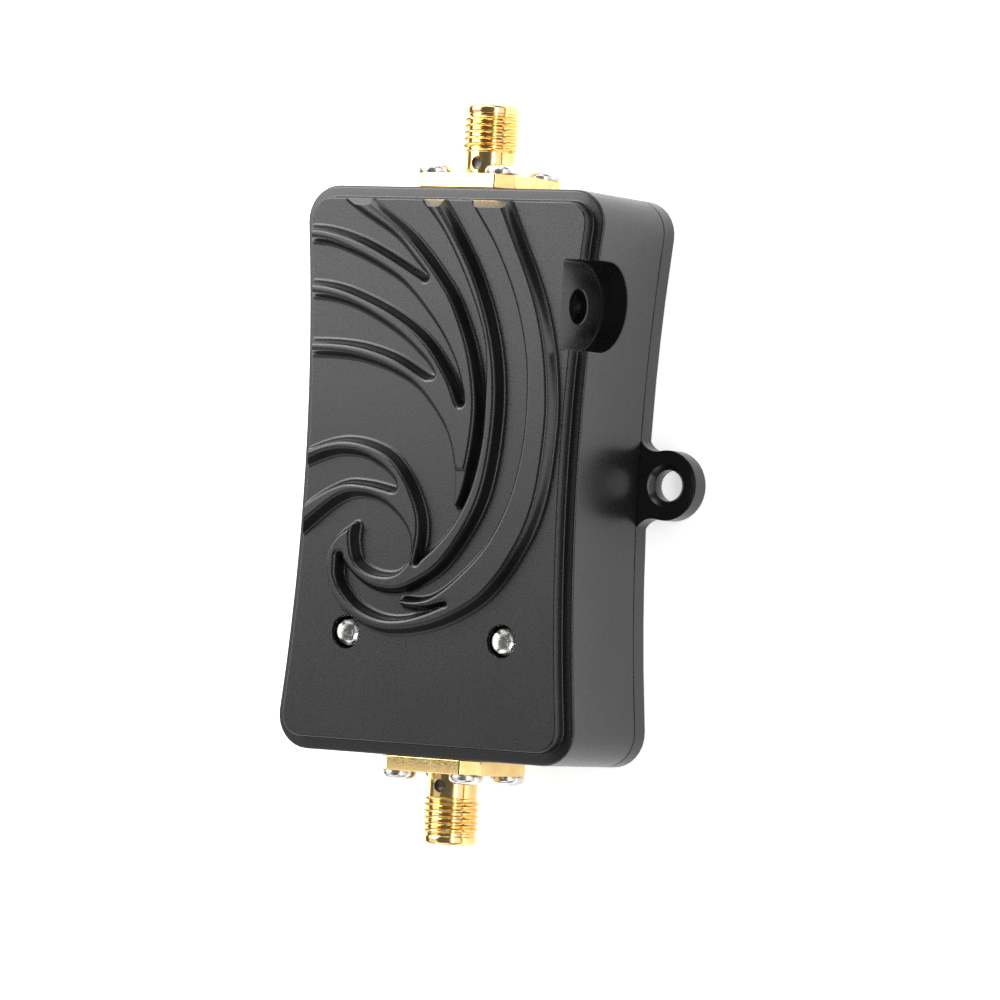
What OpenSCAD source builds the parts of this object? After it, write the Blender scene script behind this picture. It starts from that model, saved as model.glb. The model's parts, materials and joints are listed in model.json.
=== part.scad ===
// Cellular signal booster: an inline radio amplifier in a waisted cast housing.
// It lies on its back plate. The origin is the centre of the plate's back face,
// +Z leaves the ribbed front, X runs across and Y runs from socket to socket.

/* [Housing] */
// Width of the housing at its two ends
body_w = 39; // [36:0.5:50]
// Length of the housing between the two socket faces
body_l = 62.2; // [58:0.2:80]
// How far each long side curves in at the waist
waist_in = 1.9; // [0.5:0.1:2.5]
// Outer corner radius seen from the front
corner_r = 3.8; // [3.2:0.1:5]
// Height of the ledge round the raised front panel
ledge_z = 15.2; // [14.8:0.1:20]
// Height of the front panel above its ledge
panel_rise = 1.4; // [0.8:0.1:2]
// Width of the ledge round the front panel
panel_inset = 1.4; // [0.8:0.1:2]
// Height of the swirl ribs above the front panel
rib_h = 1.6; // [0.6:0.1:2]
// Length of the sloped end of each rib
rib_end_run = 1; // [0.4:0.1:1.5]
// Thickness of the long side walls
side_wall = 2; // [1.5:0.1:2.5]
// Thickness of the end walls that carry the sockets
end_wall = 3.2; // [2.6:0.1:4]
// Thickness of the front wall behind the panel
front_wall = 1.6; // [1.2:0.1:2.5]
// Radius of the four corner bosses inside the housing
boss_r = 2.5; // [2:0.1:3]
// Distance of the boss centres from the end faces
boss_in = 3.9; // [3.2:0.1:5]

/* [Back plate] */
// Thickness of the back plate and its ears
plate_t = 2.2; // [1.8:0.1:4]
// Distance between the two ear holes
ear_span = 42; // [41:0.5:54]
// Outer radius of an ear
ear_r = 3.85; // [3.2:0.05:5]
// Diameter of the hole in an ear
ear_hole_d = 3.4; // [2.6:0.1:4.2]
// Diameter of the chamfer round an ear hole
ear_chamfer_d = 4.7; // [4.4:0.1:5.6]
// Radius where an ear blends into the plate
ear_fillet_r = 2.2; // [1:0.1:4]

/* [Coaxial sockets] */
// Height of the socket axis above the back face
socket_z = 8.55; // [8.5:0.05:12]
// Side of the square flange
flange_w = 12.7; // [12:0.1:13]
// Thickness of the flange
flange_t = 1.65; // [1.2:0.05:2.5]
// Length cut off each flange corner, along the side
flange_chamfer = 1.7; // [0.5:0.1:2.5]
// Distance between the flange holes, along each side
flange_pitch = 8.64; // [8:0.02:9.2]
// Diameter of the holes in the flange
flange_hole_d = 2.6; // [2.2:0.1:2.8]
// Major diameter of the outer thread
thread_d = 6.35; // [5.5:0.05:7]
// Pitch of the outer thread
thread_pitch = 0.706; // [0.5:0.001:1]
// Length of the barrel from the wall to its tip
barrel_len = 9.5; // [8:0.1:12]
// Diameter of the smooth neck behind the thread
neck_d = 5.5; // [4.8:0.1:6]
// Length of the smooth neck
neck_len = 2.7; // [2:0.1:3.5]
// Diameter of the open mouth of the barrel
mouth_d = 4.6; // [4.2:0.05:4.8]
// Depth of the open mouth
mouth_len = 1.9; // [1.2:0.1:3]
// Diameter of the insulator
insulator_d = 4.1; // [3.6:0.05:4.3]
// Diameter of the centre contact
contact_d = 1.27; // [1:0.01:1.5]

/* [Power socket] */
// Place of the power socket along the housing
jack_y = 18.6; // [16:0.1:20]
// Height of the power socket's axis
jack_z = 12.9; // [12.5:0.1:13.2]
// Distance of the pocket's floor from the middle plane
pocket_x = 15.1; // [14.6:0.1:16]
// Radius of the D-shaped pocket
pocket_r = 4.9; // [4:0.1:5.2]
// Thickness of the wall that closes the pocket
pocket_wall = 1.2; // [1:0.1:1.6]
// Diameter of the plug hole in the pocket's floor
plug_hole_d = 3.6; // [3.5:0.1:4.2]
// Diameter of the power socket's centre pin
pin_d = 1.3; // [1:0.05:1.6]

/* [Indicator lamps] */
// Distance of each lamp from the middle plane
lamp_x = 10; // [9:0.5:12]
// Place of the lamps along the housing, below the middle
lamp_y = 18; // [17:0.5:22]
// Diameter of a lamp's clear body
lamp_d = 3; // [2.8:0.1:3.1]
// Diameter of the lamp holes in the front
lamp_hole_d = 3.5; // [3.4:0.1:4]

/* [Circuit board] */
// Thickness of the circuit board
board_t = 1.6; // [1:0.1:2]
// Gap between the board and the walls and bosses round it
board_gap = 0.5; // [0.3:0.1:1.2]
// Thickness of the thermal pad under the board
pad_t = 0.5; // [0.3:0.1:1]

/* [Hidden] */
eps = 0.01;
fit_gap = 0.05;

// heights
panel_z = ledge_z + panel_rise;
rib_z = panel_z + rib_h;
ceiling_z = panel_z - front_wall;
board_top = socket_z - contact_d / 2;
board_z = board_top - board_t;

// waisted outline: two long arcs tangent to four corner arcs
half_l = body_l / 2;
waist_r = (half_l * half_l + waist_in * waist_in) / (2 * waist_in);
waist_cx = body_w / 2 - waist_in + waist_r;
corner_y = half_l - corner_r;
corner_x = waist_cx - sqrt(pow(waist_r + corner_r, 2) - pow(corner_y, 2));
waist_a = asin(corner_y / (waist_r + corner_r));
side_steps = 24;
corner_steps = 8;

// half of the outline's width at a given place along the housing
function half_width(y) = waist_cx - sqrt(waist_r * waist_r - y * y);

boss_y = half_l - boss_in;
boss_x = half_width(boss_y) - boss_in;

// points of the outline, moved inward by a given distance
function outline(inset) =
    let (r = waist_r + inset, c = corner_r - inset)
    let (right = [for (i = [0:side_steps])
        let (a = waist_a * (2 * i / side_steps - 1))
        [waist_cx - r * cos(a), r * sin(a)]])
    let (top = [for (i = [1:corner_steps])
        let (a = -waist_a + (90 + waist_a) * i / corner_steps)
        [corner_x + c * cos(a), corner_y + c * sin(a)]])
    let (half = concat(right, top, [for (i = [len(top) - 1:-1:0]) [-top[i].x, top[i].y]]))
    let (lower = [for (i = [1:corner_steps])
        let (a = -waist_a + (90 + waist_a) * i / corner_steps)
        [corner_x + c * cos(a), corner_y + c * sin(a)]])
    concat(
        half,
        [for (p = right) [-p.x, -p.y]],
        [for (p = lower) [-p.x, -p.y]],
        [for (i = [len(lower) - 1:-1:0]) [lower[i].x, -lower[i].y]]
    );

// smooth curve through a row of knots
function knot(k, i) = k[max(0, min(len(k) - 1, i))];
function blend(a, b, c, d, t) =
    0.5 * (2 * b + (c - a) * t + (2 * a - 5 * b + 4 * c - d) * t * t
        + (3 * b - a - 3 * c + d) * t * t * t);
function curve(k, n = 5) =
    [for (i = [0:len(k) - 2], j = [0:n - 1])
        blend(knot(k, i - 1), k[i], k[i + 1], knot(k, i + 2), j / n), k[len(k) - 1]];
function tip(x, y, r, a0, a1, n = 6) =
    [for (i = [0:n]) let (a = a0 + (a1 - a0) * i / n) [x + r * cos(a), y + r * sin(a)]];

// upper swirl: a broad trunk that three ribs from the left and one from the top run into
upper_swirl = concat(
    curve([[-13.3, 31.3], [-9, 28.7], [-3.65, 25.1], [1, 20.2], [3, 17], [4.85, 12.5],
        [5.8, 7.5], [5.6, 3], [5.1, 0.1]]),
    curve([[3.8, 0.1], [3, 3.1], [1.5, 5.8], [-1.65, 9.15], [-5, 10.95], [-9, 12.15],
        [-13, 12.6], [-18.5, 12.6]]),
    curve([[-18.5, 13.5], [-13, 13.55], [-9, 13.15], [-5, 12.05], [-1.6, 10.35], [-0.6, 9.95]]),
    tip(0.05, 10.4, 0.4, -70, 30),
    curve([[0, 11.25], [-1.5, 12.75], [-5, 15.3], [-10, 17.75], [-14, 18.8], [-18.5, 19.1]]),
    curve([[-18.5, 20.05], [-14, 19.8], [-10, 18.75], [-5, 16.65], [-1, 13.95], [2, 10.3],
        [3.2, 8]]),
    tip(3.95, 7.6, 0.5, -130, 20),
    curve([[4.3, 8.6], [3, 12], [0.35, 15.95], [-4, 20.3], [-8, 22.55], [-12, 24.15],
        [-15, 24.95], [-18.5, 25.1]]),
    curve([[-18.5, 26.05], [-15, 25.95], [-11, 25], [-7, 23.35], [-3, 21.3], [-1.8, 20.65]]),
    tip(-1.45, 20.95, 0.4, -110, 10),
    curve([[-1.35, 21.45], [-3, 23.1], [-6, 25.85], [-10.9, 28.6], [-15.1, 31.3]])
);

// low point that runs on below the trunk
upper_spike = concat(
    curve([[5.12, 0.3], [4.85, -1.2], [4.4, -2.7], [4.05, -3.6]]),
    [[3.95, -3.6]],
    curve([[3.95, -2], [3.9, -1], [3.78, 0.3]])
);

// lower swirl: two long ribs from the top that close into a curl with two ribs from the left
lower_swirl = concat(
    curve([[7, 31.3], [8.05, 28.7], [10.05, 24.7], [11.9, 21], [13.45, 17], [14.5, 12.7],
        [15.05, 8], [15, 4], [14.45, -1.3], [13.4, -5.2], [11.8, -8.4], [9.65, -11.5],
        [7, -14], [3, -16.1], [-1, -17.2], [-5, -17.35], [-8.75, -16], [-11, -14.1],
        [-12.1, -11.5], [-11.9, -9.3], [-11.1, -7.8], [-9.6, -6.7]]),
    curve([[-9.05, -6.3], [-9.15, -8], [-8.4, -10.2], [-6.5, -11.4], [-4.1, -11.65],
        [-2.5, -11], [-1.4, -9.5], [-1.4, -7.4], [-2.6, -5.4], [-5.2, -3.4], [-8, -2.65],
        [-11, -3.15], [-15, -6], [-18.5, -9.2]]),
    curve([[-18.5, -7.1], [-15, -4], [-11, -1.95], [-8, -1.8], [-5.2, -2.25], [-4.4, -2.45]]),
    tip(-3.95, -2.05, 0.4, -80, 30),
    curve([[-3.7, -1.35], [-4.3, -0.6], [-6.1, 0.7], [-9, 1.8], [-13, 1.65], [-18.5, -0.6]]),
    curve([[-18.5, 0.4], [-13, 2.55], [-9, 2.8], [-5, 1.5], [-2.45, -1.1], [-0.75, -4.4],
        [-0.4, -6.9], [-0.75, -9.2]]),
    tip(-0.55, -9.85, 0.4, 200, 310),
    curve([[0.1, -9.7], [2, -8], [4, -5.6], [5.85, -2], [6.95, 3], [7.1, 8], [6.8, 13.2],
        [5.5, 17.3], [3, 22.3], [-0.3, 27.2], [-4.4, 31.3]]),
    curve([[-2.2, 31.3], [1.7, 26.2], [5, 20.8], [7.4, 14.5], [8.35, 8], [7.85, 0.7],
        [6.35, -4.4], [3, -9.5], [0, -11.8], [-3, -13], [-6, -12.8], [-8.5, -11.5],
        [-10, -9.95]]),
    tip(-10.5, -9.75, 0.45, 20, 170),
    curve([[-10.95, -10.6], [-10.85, -11.9], [-10, -13.4], [-8, -15.2], [-5, -16.3],
        [-2, -16.3], [1, -15.5], [3.2, -14.6]]),
    tip(3.4, -14.35, 0.25, -40, 110),
    curve([[2.9, -14.15], [1, -14.65], [-1, -14.75], [-2.35, -14.55]]),
    curve([[-2.35, -14.25], [0, -14.2], [2, -13.5], [4.8, -11.4], [8.3, -7.7], [10.8, -2.8],
        [12.1, 3], [12.25, 9], [11.7, 13.7], [10.1, 19], [7.3, 24.5], [4.3, 28.7],
        [2.5, 31.3]])
);

// back plate and its screws
ear_sink = 0.3;
base_head_d = 3.8;
base_head_h = 1.1;
base_head_sink = 0.1;
base_screw_len = plate_t + 5;
hole_slack = 0.4;

// sockets
ends = [1, -1];
flange_half = flange_pitch / 2;
face_y = half_l;
screw_d = 2;
thread_slack = 0.02;
screw_head_d = 3.7;
screw_head_t = 1.1;
screw_grip = 2.9;
drive_d = 1.3;
drive_depth = 0.5;
lead_d = 5.9;
lead_len = 1;
thread_root_d = thread_d - 1.08 * thread_pitch;
potting_d = 1.4;
potting_y = flange_t + 1.4;
contact_back = 2.4;
contact_bore_d = 0.94;
contact_bore_len = 3;
contact_slit = 0.18;

// circuit board and its screws
board_half_l = half_l - end_wall - board_gap;
board_w = 2 * (min(boss_x - boss_r, pocket_x - pocket_wall) - board_gap);
post_x = board_w / 2 - 2.4;
post_y = board_half_l - 3;
post_r = 2.2;
board_screw_head_r = 1.9;
board_screw_head_t = 1.2;
tap_r = screw_d / 2;
block_w = 13;
block_l = 15;
block_y = -2;

// power socket inside the housing
jack_w = 6.4;
jack_len = 10.2;
jack_nose_x = pocket_x - pocket_wall - fit_gap;
jack_back_x = jack_nose_x - jack_len;
jack_top = jack_z + 2.4;
jack_bore_d = plug_hole_d;
jack_bore_len = 8.4;
jack_relief = 0.3;
spring_t = 0.3;
spring_w = 1.4;
spring_len = 6;
spring_gap = 0.3;
spring_x = jack_nose_x - 8;
spring_z = jack_z - jack_bore_d / 2 - spring_t / 2 - 0.25;
slot_depth = 1.4;
leg_t = 0.35;
leg_w = 2;
pin_recess = 0.6;

// lamps
lamp_flange_d = 3.7;
lamp_flange_t = 0.9;
lamp_top = panel_z + 0.4;
lamp_base = lamp_top - 5.3;
lamp_lead = 0.5;
lamp_lead_gap = 2.54;

// shield
shield_w = 17;
shield_l = 23;
shield_y = -3;
shield_h = 3.2;
sheet_t = 0.3;
vent_d = 1;
vent_pitch = 2.8;
lid_overlap = 2;

// larger parts on the board
chip_black = [0.08, 0.08, 0.09];
can_places = [[-3.6, 13], [-9.3, 19.4]];
can_base_w = 4.4;
can_base_t = 0.6;
can_d = 4.2;
can_h = 5.2;
can_groove_z = 3.9;
can_groove_h = 0.4;
can_groove_d = 3.8;
inductor_place = [-3.6, 19.4];
inductor_w = 5;
inductor_d = 4.6;
inductor_h = 2.6;

// ---------------------------------------------------------------- helpers

module plate_shape(inset, z0, z1) {
    translate([0, 0, z0]) linear_extrude(z1 - z0) polygon(outline(inset));
}

// solid between two insets of the outline: the ribs' ends follow its sloped rim
module tapered_plate(inset0, inset1, z0, z1) {
    low = outline(inset0);
    high = outline(inset1);
    n = len(low);
    polyhedron(
        points = concat([for (p = low) [p.x, p.y, z0]], [for (p = high) [p.x, p.y, z1]]),
        faces = concat(
            [[for (i = [0:n - 1]) i]],
            [[for (i = [n - 1:-1:0]) n + i]],
            [for (i = [0:n - 1]) [i, n + i, n + (i + 1) % n, (i + 1) % n]]
        )
    );
}

module at_flange_holes() {
    for (sx = [-1, 1], sz = [-1, 1])
        translate([sx * flange_half, 0, socket_z + sz * flange_half]) children();
}

// turns a shape built along +Z so that it leaves the +Y or the -Y face
module on_end(side) {
    translate([0, side * face_y, socket_z]) rotate([-90 * side, 0, 0]) children();
}

module at_bosses() {
    for (sx = [0, 1], sy = [0, 1])
        mirror([sx, 0, 0]) mirror([0, sy, 0]) translate([boss_x, boss_y, 0]) children();
}

module at_posts() {
    for (sx = [-1, 1], sy = [-1, 1])
        translate([sx * post_x, sy * post_y, 0]) children();
}

module pan_screw(head_r, head_t, grip, d) {
    difference() {
        union() {
            rotate_extrude($fn = 32) polygon([[0, 0], [head_r, 0], [head_r, head_t * 0.45],
                [head_r * 0.9, head_t * 0.75], [head_r * 0.66, head_t * 0.95],
                [head_r * 0.45, head_t], [0, head_t]]);
            translate([0, 0, -grip]) cylinder(h = grip + eps, d = d, $fn = 24);
        }
        translate([0, 0, head_t - drive_depth]) cross_drive();
    }
}

module cross_drive() {
    for (a = [0, 90])
        rotate(a) translate([-drive_d * 0.85, -0.2, 0]) cube([drive_d * 1.7, 0.4, drive_depth + 1]);
}

// ---------------------------------------------------------------- housing

module housing() {
    color([0.13, 0.13, 0.14]) difference() {
        union() {
            difference() {
                union() {
                    plate_shape(0, plate_t, ledge_z);
                    plate_shape(panel_inset, ledge_z - eps, panel_z);
                }
                housing_cavity();
            }
            housing_bosses();
            pocket_shell();
            swirl();
        }
        jack_pocket();
        lamp_holes();
        socket_holes();
        boss_holes();
    }
}

module housing_cavity() {
    intersection() {
        plate_shape(side_wall, plate_t - 1, ceiling_z);
        translate([-body_w, -half_l + end_wall, 0])
            cube([2 * body_w, body_l - 2 * end_wall, panel_z]);
    }
}

module housing_bosses() {
    intersection() {
        plate_shape(side_wall / 2, plate_t, ceiling_z + eps);
        at_bosses() union() {
            cylinder(h = ceiling_z + eps, r = boss_r, $fn = 40);
            boss_web();
        }
    }
}

// ties a boss to the nearest corner of the housing
module boss_web() {
    translate([-boss_r, 0, 0]) cube([boss_r + boss_in, boss_in, ceiling_z]);
    translate([0, -boss_r, 0]) cube([boss_in, boss_r + boss_in, ceiling_z]);
}

module swirl() {
    intersection() {
        tapered_plate(panel_inset, panel_inset + rib_end_run * 1.2,
            panel_z - eps, rib_z + rib_h * 0.2);
        union() {
            translate([0, 0, panel_z - 2 * eps]) linear_extrude(rib_h + 2 * eps) polygon(upper_swirl);
            translate([0, 0, panel_z - 2 * eps]) linear_extrude(rib_h + 2 * eps) polygon(lower_swirl);
            translate([0, 0, panel_z - 2 * eps]) linear_extrude(rib_h * 0.85) polygon(upper_spike);
        }
    }
}

module pocket_outline(grow) {
    translate([jack_y, jack_z]) circle(r = pocket_r + grow, $fn = 64);
    translate([jack_y - pocket_r - grow, jack_z]) square([2 * (pocket_r + grow), rib_z]);
}

// the outline's first axis becomes +Y and its second becomes +Z
module along_x(x0, x1) {
    translate([x0, 0, 0]) rotate([90, 0, 90]) linear_extrude(x1 - x0) children();
}

module pocket_shell() {
    intersection() {
        along_x(pocket_x - pocket_wall, body_w / 2) pocket_outline(pocket_wall);
        plate_shape(side_wall / 2, plate_t, ceiling_z + eps);
    }
}

module jack_pocket() {
    along_x(pocket_x, body_w) pocket_outline(0);
    translate([pocket_x - pocket_wall - 1, jack_y, jack_z]) rotate([0, 90, 0])
        cylinder(h = pocket_wall + 2, d = plug_hole_d, $fn = 48);
    translate([pocket_x - 0.3, jack_y, jack_z]) rotate([0, 90, 0])
        cylinder(h = 0.31, d1 = plug_hole_d, d2 = plug_hole_d + 0.6, $fn = 48);
    translate([jack_back_x - jack_relief, jack_y - jack_w / 2 - jack_relief, ceiling_z - 1])
        cube([jack_len + 2 * jack_relief - 0.25, jack_w + 2 * jack_relief,
            jack_top - ceiling_z + 1 + jack_relief]);
}

module lamp_holes() {
    for (sx = [-1, 1]) translate([sx * lamp_x, -lamp_y, 0]) {
        translate([0, 0, ceiling_z - 1]) cylinder(h = front_wall + 3, d = lamp_hole_d, $fn = 48);
        translate([0, 0, panel_z - 0.25])
            cylinder(h = 0.5, d1 = lamp_hole_d, d2 = lamp_hole_d + 1, $fn = 48);
    }
}

module socket_holes() {
    for (side = ends) {
        translate([0, side * (face_y + 1), socket_z]) rotate([90 * side, 0, 0])
            cylinder(h = end_wall + 2, d = insulator_d + 2 * fit_gap, $fn = 48);
        translate([0, side * (face_y + 1), 0]) at_flange_holes() rotate([90 * side, 0, 0])
            cylinder(h = end_wall + 2, d = screw_d, $fn = 24);
    }
}

module boss_holes() {
    at_bosses() translate([0, 0, plate_t - 1]) cylinder(h = 8, d = screw_d, $fn = 24);
}

// ---------------------------------------------------------------- back plate

module base_plate() {
    color([0.12, 0.12, 0.13]) difference() {
        union() {
            linear_extrude(plate_t) union() {
                polygon(outline(0));
                for (sx = [0, 1]) mirror([sx, 0]) ear_shape();
            }
            at_posts() translate([0, 0, plate_t - eps])
                cylinder(h = board_z - plate_t + eps, r = post_r, $fn = 40);
            translate([-block_w / 2, block_y - block_l / 2, plate_t - eps])
                cube([block_w, block_l, board_z - pad_t - plate_t + eps]);
        }
        for (sx = [-1, 1]) translate([sx * ear_span / 2, 0, 0]) ear_hole();
        at_bosses() countersunk_hole();
        at_posts() translate([0, 0, plate_t]) cylinder(h = board_z, r = tap_r, $fn = 24);
    }
}

// round ear at the +X side, with a fillet on each side where it meets the waist
module ear_shape() {
    ear_x = ear_span / 2;
    edge_x = half_width(ear_r + ear_fillet_r) - ear_sink;
    fillet_x = edge_x + ear_fillet_r;
    fillet_y = sqrt(pow(ear_r + ear_fillet_r, 2) - pow(ear_x - fillet_x, 2));
    tangent_y = fillet_y * ear_r / (ear_r + ear_fillet_r);
    translate([ear_x, 0]) circle(r = ear_r, $fn = 64);
    difference() {
        translate([edge_x - 1, -fillet_y]) square([ear_x - edge_x + 1, 2 * fillet_y]);
        for (sy = [0, 1]) mirror([0, sy]) {
            translate([fillet_x, fillet_y]) circle(r = ear_fillet_r, $fn = 48);
            translate([fillet_x, tangent_y]) square(2 * ear_r);
        }
    }
}

module ear_hole() {
    chamfer = (ear_chamfer_d - ear_hole_d) / 2;
    translate([0, 0, -1]) cylinder(h = plate_t + 2, d = ear_hole_d, $fn = 48);
    translate([0, 0, plate_t - chamfer])
        cylinder(h = chamfer + eps, d1 = ear_hole_d, d2 = ear_chamfer_d + 2 * eps, $fn = 48);
}

module countersunk_hole() {
    translate([0, 0, -1]) cylinder(h = plate_t + 2, d = screw_d + hole_slack, $fn = 24);
    translate([0, 0, -eps])
        cylinder(h = base_head_h + 0.1, d1 = base_head_d + 0.3, d2 = screw_d + 0.3, $fn = 32);
}

module base_screws() {
    color([0.45, 0.45, 0.47]) at_bosses() difference() {
        union() {
            translate([0, 0, base_head_sink])
                cylinder(h = base_head_h, d1 = base_head_d, d2 = screw_d, $fn = 32);
            translate([0, 0, base_head_sink])
                cylinder(h = base_screw_len, d = screw_d - thread_slack, $fn = 24);
        }
        translate([0, 0, base_head_sink + drive_depth]) rotate([180, 0, 0]) cross_drive();
    }
}

// ---------------------------------------------------------------- coaxial sockets

module socket_body(side) {
    thread_start = flange_t + neck_len;
    thread_end = barrel_len - lead_len;
    turns = floor((thread_end - thread_start) / thread_pitch);
    on_end(side) difference() {
        union() {
            linear_extrude(flange_t) polygon([for (q = [0:3], s = [-1, 1])
                let (a = 90 * q, u = flange_w / 2, v = s * (flange_w / 2 - flange_chamfer))
                [u * cos(a) - v * sin(a), u * sin(a) + v * cos(a)]]);
            rotate_extrude($fn = 48) polygon(concat(
                [[0, flange_t - eps], [neck_d / 2, flange_t - eps], [neck_d / 2, thread_start]],
                [for (i = [0:turns - 1], p = [0.12, 0.42, 0.62, 0.92])
                    [(p < 0.3 || p > 0.9 ? thread_root_d : thread_d) / 2,
                        thread_start + (i + p) * thread_pitch]],
                [[thread_root_d / 2, thread_end], [lead_d / 2, thread_end],
                    [lead_d / 2, barrel_len - 0.3], [lead_d / 2 - 0.3, barrel_len],
                    [0, barrel_len]]
            ));
        }
        translate([0, 0, -1]) cylinder(h = barrel_len + 2, d = insulator_d, $fn = 48);
        translate([0, 0, barrel_len - mouth_len]) cylinder(h = mouth_len + 1, d = mouth_d, $fn = 48);
        for (sx = [-1, 1], sy = [-1, 1])
            translate([sx * flange_half, sy * flange_half, -1])
                cylinder(h = flange_t + 2, d = flange_hole_d, $fn = 32);
        translate([0, -side * 1, potting_y]) rotate([90 * side, 0, 0])
            cylinder(h = neck_d, d = potting_d, $fn = 32);
    }
}

module socket_insulator(side) {
    on_end(side) difference() {
        translate([0, 0, -end_wall])
            cylinder(h = end_wall + barrel_len - mouth_len, d = insulator_d, $fn = 48);
        translate([0, 0, -end_wall - 1]) cylinder(h = end_wall + barrel_len + 2, d = contact_d, $fn = 32);
    }
}

module socket_contact(side) {
    on_end(side) difference() {
        translate([0, 0, -end_wall - contact_back])
            cylinder(h = end_wall + contact_back + barrel_len - mouth_len, d = contact_d, $fn = 32);
        translate([0, 0, barrel_len - mouth_len - contact_bore_len])
            cylinder(h = contact_bore_len + 1, d = contact_bore_d, $fn = 32);
        for (a = [0, 90]) rotate(a)
            translate([-contact_d, -contact_slit / 2, barrel_len - mouth_len - contact_bore_len])
                cube([2 * contact_d, contact_slit, contact_bore_len + 1]);
    }
}

// potting that fills the side hole, with its outer face just under the neck's surface
module socket_potting(side) {
    on_end(side) intersection() {
        translate([0, -side * 1, potting_y]) rotate([90 * side, 0, 0])
            cylinder(h = neck_d, d = potting_d, $fn = 32);
        difference() {
            cylinder(h = barrel_len, d = neck_d - 0.1, $fn = 48);
            translate([0, 0, -1]) cylinder(h = barrel_len + 2, d = insulator_d, $fn = 48);
        }
    }
}

module socket_screws(side) {
    translate([0, side * (face_y + flange_t), 0]) at_flange_holes() rotate([-90 * side, 0, 0])
        pan_screw(screw_head_d / 2, screw_head_t, flange_t + screw_grip, screw_d - thread_slack);
}

module antenna_socket() { color("gold") socket_body(1); }
module radio_socket() { color("gold") socket_body(-1); }
module antenna_insulator() { color("white") socket_insulator(1); }
module radio_insulator() { color("white") socket_insulator(-1); }
module antenna_contact() { color("gold") socket_contact(1); }
module radio_contact() { color("gold") socket_contact(-1); }
module antenna_potting() { color([0.35, 0.25, 0.12]) socket_potting(1); }
module radio_potting() { color([0.35, 0.25, 0.12]) socket_potting(-1); }
module antenna_screws() { color("silver") socket_screws(1); }
module radio_screws() { color("silver") socket_screws(-1); }

// ---------------------------------------------------------------- circuit board

module circuit_board() {
    color([0.02, 0.25, 0.12]) difference() {
        translate([-board_w / 2, -board_half_l, board_z]) cube([board_w, 2 * board_half_l, board_t]);
        at_posts() translate([0, 0, board_z - 1])
            cylinder(h = board_t + 2, d = screw_d + hole_slack, $fn = 24);
        lamp_lead_places() translate([0, 0, board_z - 1])
            cylinder(h = board_t + 2, d = lamp_lead + 0.08, $fn = 16);
    }
}

module board_screws() {
    color("silver") at_posts() translate([0, 0, board_top])
        pan_screw(board_screw_head_r, board_screw_head_t, board_t + 3, screw_d - thread_slack);
}

module thermal_pad() {
    color([0.55, 0.6, 0.68]) translate([-block_w / 2, block_y - block_l / 2, board_z - pad_t])
        cube([block_w, block_l, pad_t]);
}

// ---------------------------------------------------------------- power socket

module jack_body() {
    color([0.07, 0.07, 0.07]) difference() {
        translate([jack_back_x, jack_y - jack_w / 2, board_top])
            cube([jack_len, jack_w, jack_top - board_top]);
        translate([jack_nose_x - jack_bore_len, jack_y, jack_z]) rotate([0, 90, 0])
            cylinder(h = jack_bore_len + 1, d = jack_bore_d, $fn = 48);
        translate([jack_back_x - 1, jack_y, jack_z]) rotate([0, 90, 0])
            cylinder(h = jack_len, d = pin_d, $fn = 24);
        spring_slot();
    }
}

// open slot under the bore where the sprung contact lies and dips
module spring_slot() {
    width = spring_w + 2 * spring_gap;
    floor_z = spring_z - slot_depth;
    translate([jack_back_x - 1, jack_y - width / 2, floor_z])
        cube([jack_len - 0.9 + 1, width, jack_z - jack_bore_d / 2 - floor_z + 0.3]);
}

module jack_pin() {
    color("silver") translate([jack_back_x - leg_t - 0.1, jack_y, jack_z]) rotate([0, 90, 0]) {
        cylinder(h = jack_len - pin_recess, d = pin_d, $fn = 32);
        translate([0, 0, jack_len - pin_recess]) sphere(d = pin_d, $fn = 32);
    }
}

// flat solder leg behind the socket body, with the pin's end riveted through it
module jack_terminals() {
    color("silver") difference() {
        translate([jack_back_x - leg_t, jack_y - leg_w / 2, board_top])
            cube([leg_t, leg_w, jack_z + leg_w / 2 + 0.2 - board_top]);
        translate([jack_back_x - 1, jack_y, jack_z]) rotate([0, 90, 0])
            cylinder(h = 2, d = pin_d, $fn = 32);
    }
}

module jack_spring() {
    color([0.8, 0.7, 0.5]) translate([spring_x, jack_y - spring_w / 2, 0]) {
        translate([0, 0, spring_z - spring_t / 2]) cube([spring_len, spring_w, spring_t]);
        translate([spring_len - 1.2, 0, spring_z]) rotate([-90, 0, 0])
            cylinder(h = spring_w, r = 0.55, $fn = 32);
    }
}

// ---------------------------------------------------------------- lamps

module lamp_lead_places() {
    for (sx = [-1, 1], sy = [-1, 1])
        translate([sx * lamp_x, -lamp_y + sy * lamp_lead_gap / 2, 0]) children();
}

module lamp(sx) {
    dome_r = lamp_d / 2;
    color([0.9, 0.95, 1, 0.5]) translate([sx * lamp_x, -lamp_y, 0]) {
        translate([0, 0, lamp_base]) cylinder(h = lamp_flange_t, d = lamp_flange_d, $fn = 40);
        translate([0, 0, lamp_base]) cylinder(h = lamp_top - dome_r - lamp_base, d = lamp_d, $fn = 40);
        translate([0, 0, lamp_top - dome_r]) sphere(r = dome_r, $fn = 40);
    }
}

module power_lamp() { lamp(-1); }
module link_lamp() { lamp(1); }

module lamp_leads() {
    color("silver") lamp_lead_places()
        translate([0, 0, board_z - 0.6]) cylinder(h = lamp_base - board_z + 0.6, d = lamp_lead, $fn = 16);
}

// ---------------------------------------------------------------- shield and chips

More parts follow.
